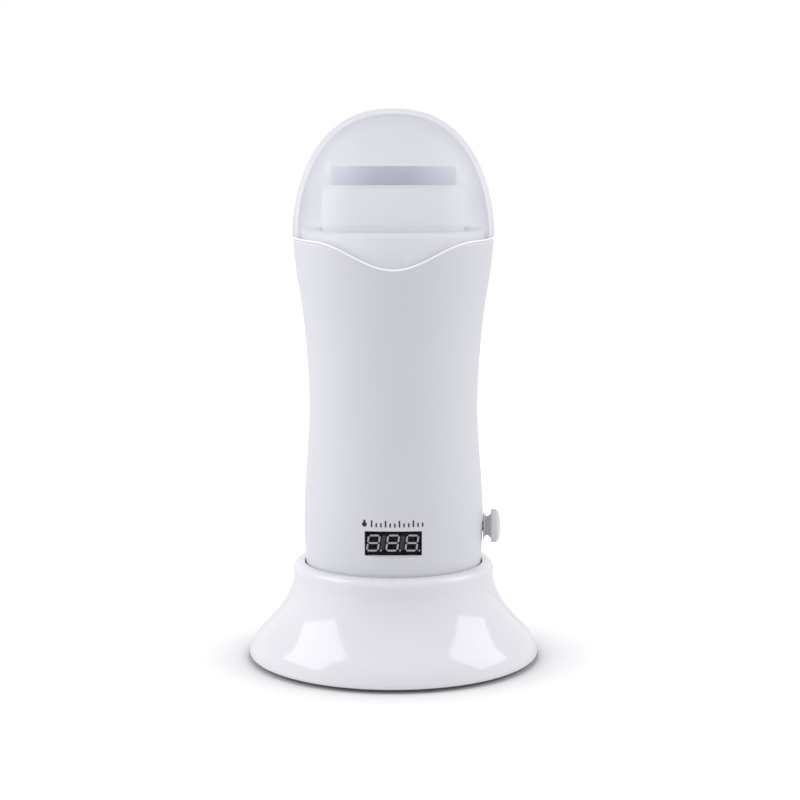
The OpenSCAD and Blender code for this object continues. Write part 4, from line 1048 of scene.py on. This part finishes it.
def make_roller():
    r, half, edge, axle, reach = 9.5, 24.3, 0.8, 1.6, 1.6
    line = [(0, -half - reach), (axle, -half - reach), (axle, -half)]
    line += [tuple(p) for p in arc((r - edge, edge - half), edge, -90, 0, 5)]
    line += [tuple(p) for p in arc((r - edge, half - edge), edge, 0, 90, 5)]
    line += [(axle, half), (axle, half + reach), (0, half + reach)]
    piece = turned("roller_detail", line, 128)
    place(piece, (0, 0, HEATER_Z + ROLLER_H), ALONG_X)
    tidy(piece)
    finish_piece(piece, "roller", "roller_grey", "roller")


def make_knob():
    """The thermostat knob: finely fluted disc, shallow dome and waisted neck under a thin grey skin,
    which is painted shade.
    """
    gap, reach = 0.4, 7.0  # from the body to the knob's foot and to its tip
    start = (float(body_r(CONTROL_H)) + gap, 0, HEATER_Z + CONTROL_H)
    disc_r, neck_r, foot_r, edge, dome, corner = 6.75, 3.8, 5.5, 1.3, 2.2, 0.35
    waist, under_r = 0.45, disc_r * 0.8  # the waist's place along the neck, and where the disc begins
    low = reach - gap - dome - edge
    line = [(0.0, 0.0)]
    for t in np.linspace(0, 1, 25):
        if t < waist:
            r = neck_r + (foot_r - neck_r) * (1 - t / waist) ** 2
        else:
            r = neck_r + (under_r - neck_r) * ((t - waist) / (1 - waist)) ** 2
        line.append((r, t * low))
    first = len(line)
    line += [tuple(p) for p in arc((disc_r - corner, low + corner), corner, -90, 0, 4)]
    line.append((disc_r, low + edge * 0.6))
    last = len(line)
    for a in np.radians(np.linspace(0, 90, 13)[:-1]):
        line.append((disc_r * math.cos(a) ** 0.6, low + edge + dome * math.sin(a)))
    line.append((0.0, low + edge + dome))
    flute_count, flute_depth = 64, 0.18

    def flutes(k, a):
        depth = flute_depth / 2 if first < k < last + 2 else 0
        return -depth * (1 - np.cos(flute_count * a))

    piece = turned("thermostat_knob_detail", line, 384, flutes)
    place(piece, start, ALONG_X)
    tidy(piece, 50)
    finish_piece(piece, "knob", "knob_white", "thermostat_knob")
    # painted shade: a thin grey skin darkens the neck between the disc and the body
    cover, cover_r, inner_r = 0.03, 4.6, neck_r - 0.3
    neck_shade = [(r + cover, z) for r, z in line[2:24] if r < cover_r]
    neck_shade = [(inner_r, neck_shade[0][1]), *neck_shade, (inner_r, neck_shade[-1][1])]
    piece = turned("knob_neck_shade", neck_shade)
    place(piece, start, ALONG_X)
    tidy(piece, 50)
    finish_piece(piece, "knob", "liner_grey")


make_base()
make_shell(True)
make_shell(False)
make_digits()
make_print()
make_cap()
make_cap_painted_highlight()
make_tab()
make_roller()
make_knob()

# ---- CAD nodes that keep their shape ----

REFINED = {
    "base_bottom_plate": 0.3,
    "rubber_feet": 0.3,
    "mains_inlet": 0.25,
    "dock_connector": 0.3,
    "foot_inlet": 0.25,
    "collar": 0.3,
    "cartridge_well": 0.3,
    "cartridge_container": 0.4,
    "cartridge_head": 0.35,
    "display_module": 0.1,
    "display_window": 0.05,
    "heating_plate": 0.3,
}  # the width of each node's softened edges
slots = {s["node"]: s["material_slot"] for s in frame["record"]["subparts"]}
for node, bevel in REFINED.items():
    piece = refined(node, slots[node], bevel)
    if node.startswith("display"):
        middle = (HEATER_Z + CONTROL_H) * MM
        for v in piece.data.vertices:
            v.co.z = middle + DISPLAY_SHIFT * MM + (v.co.z - middle) * DISPLAY_STRETCH
for node, cad in frame["nodes"].items():
    if not cad.hide_render:
        cad.data.materials.clear()
        cad.data.materials.append(material(slots[node]))
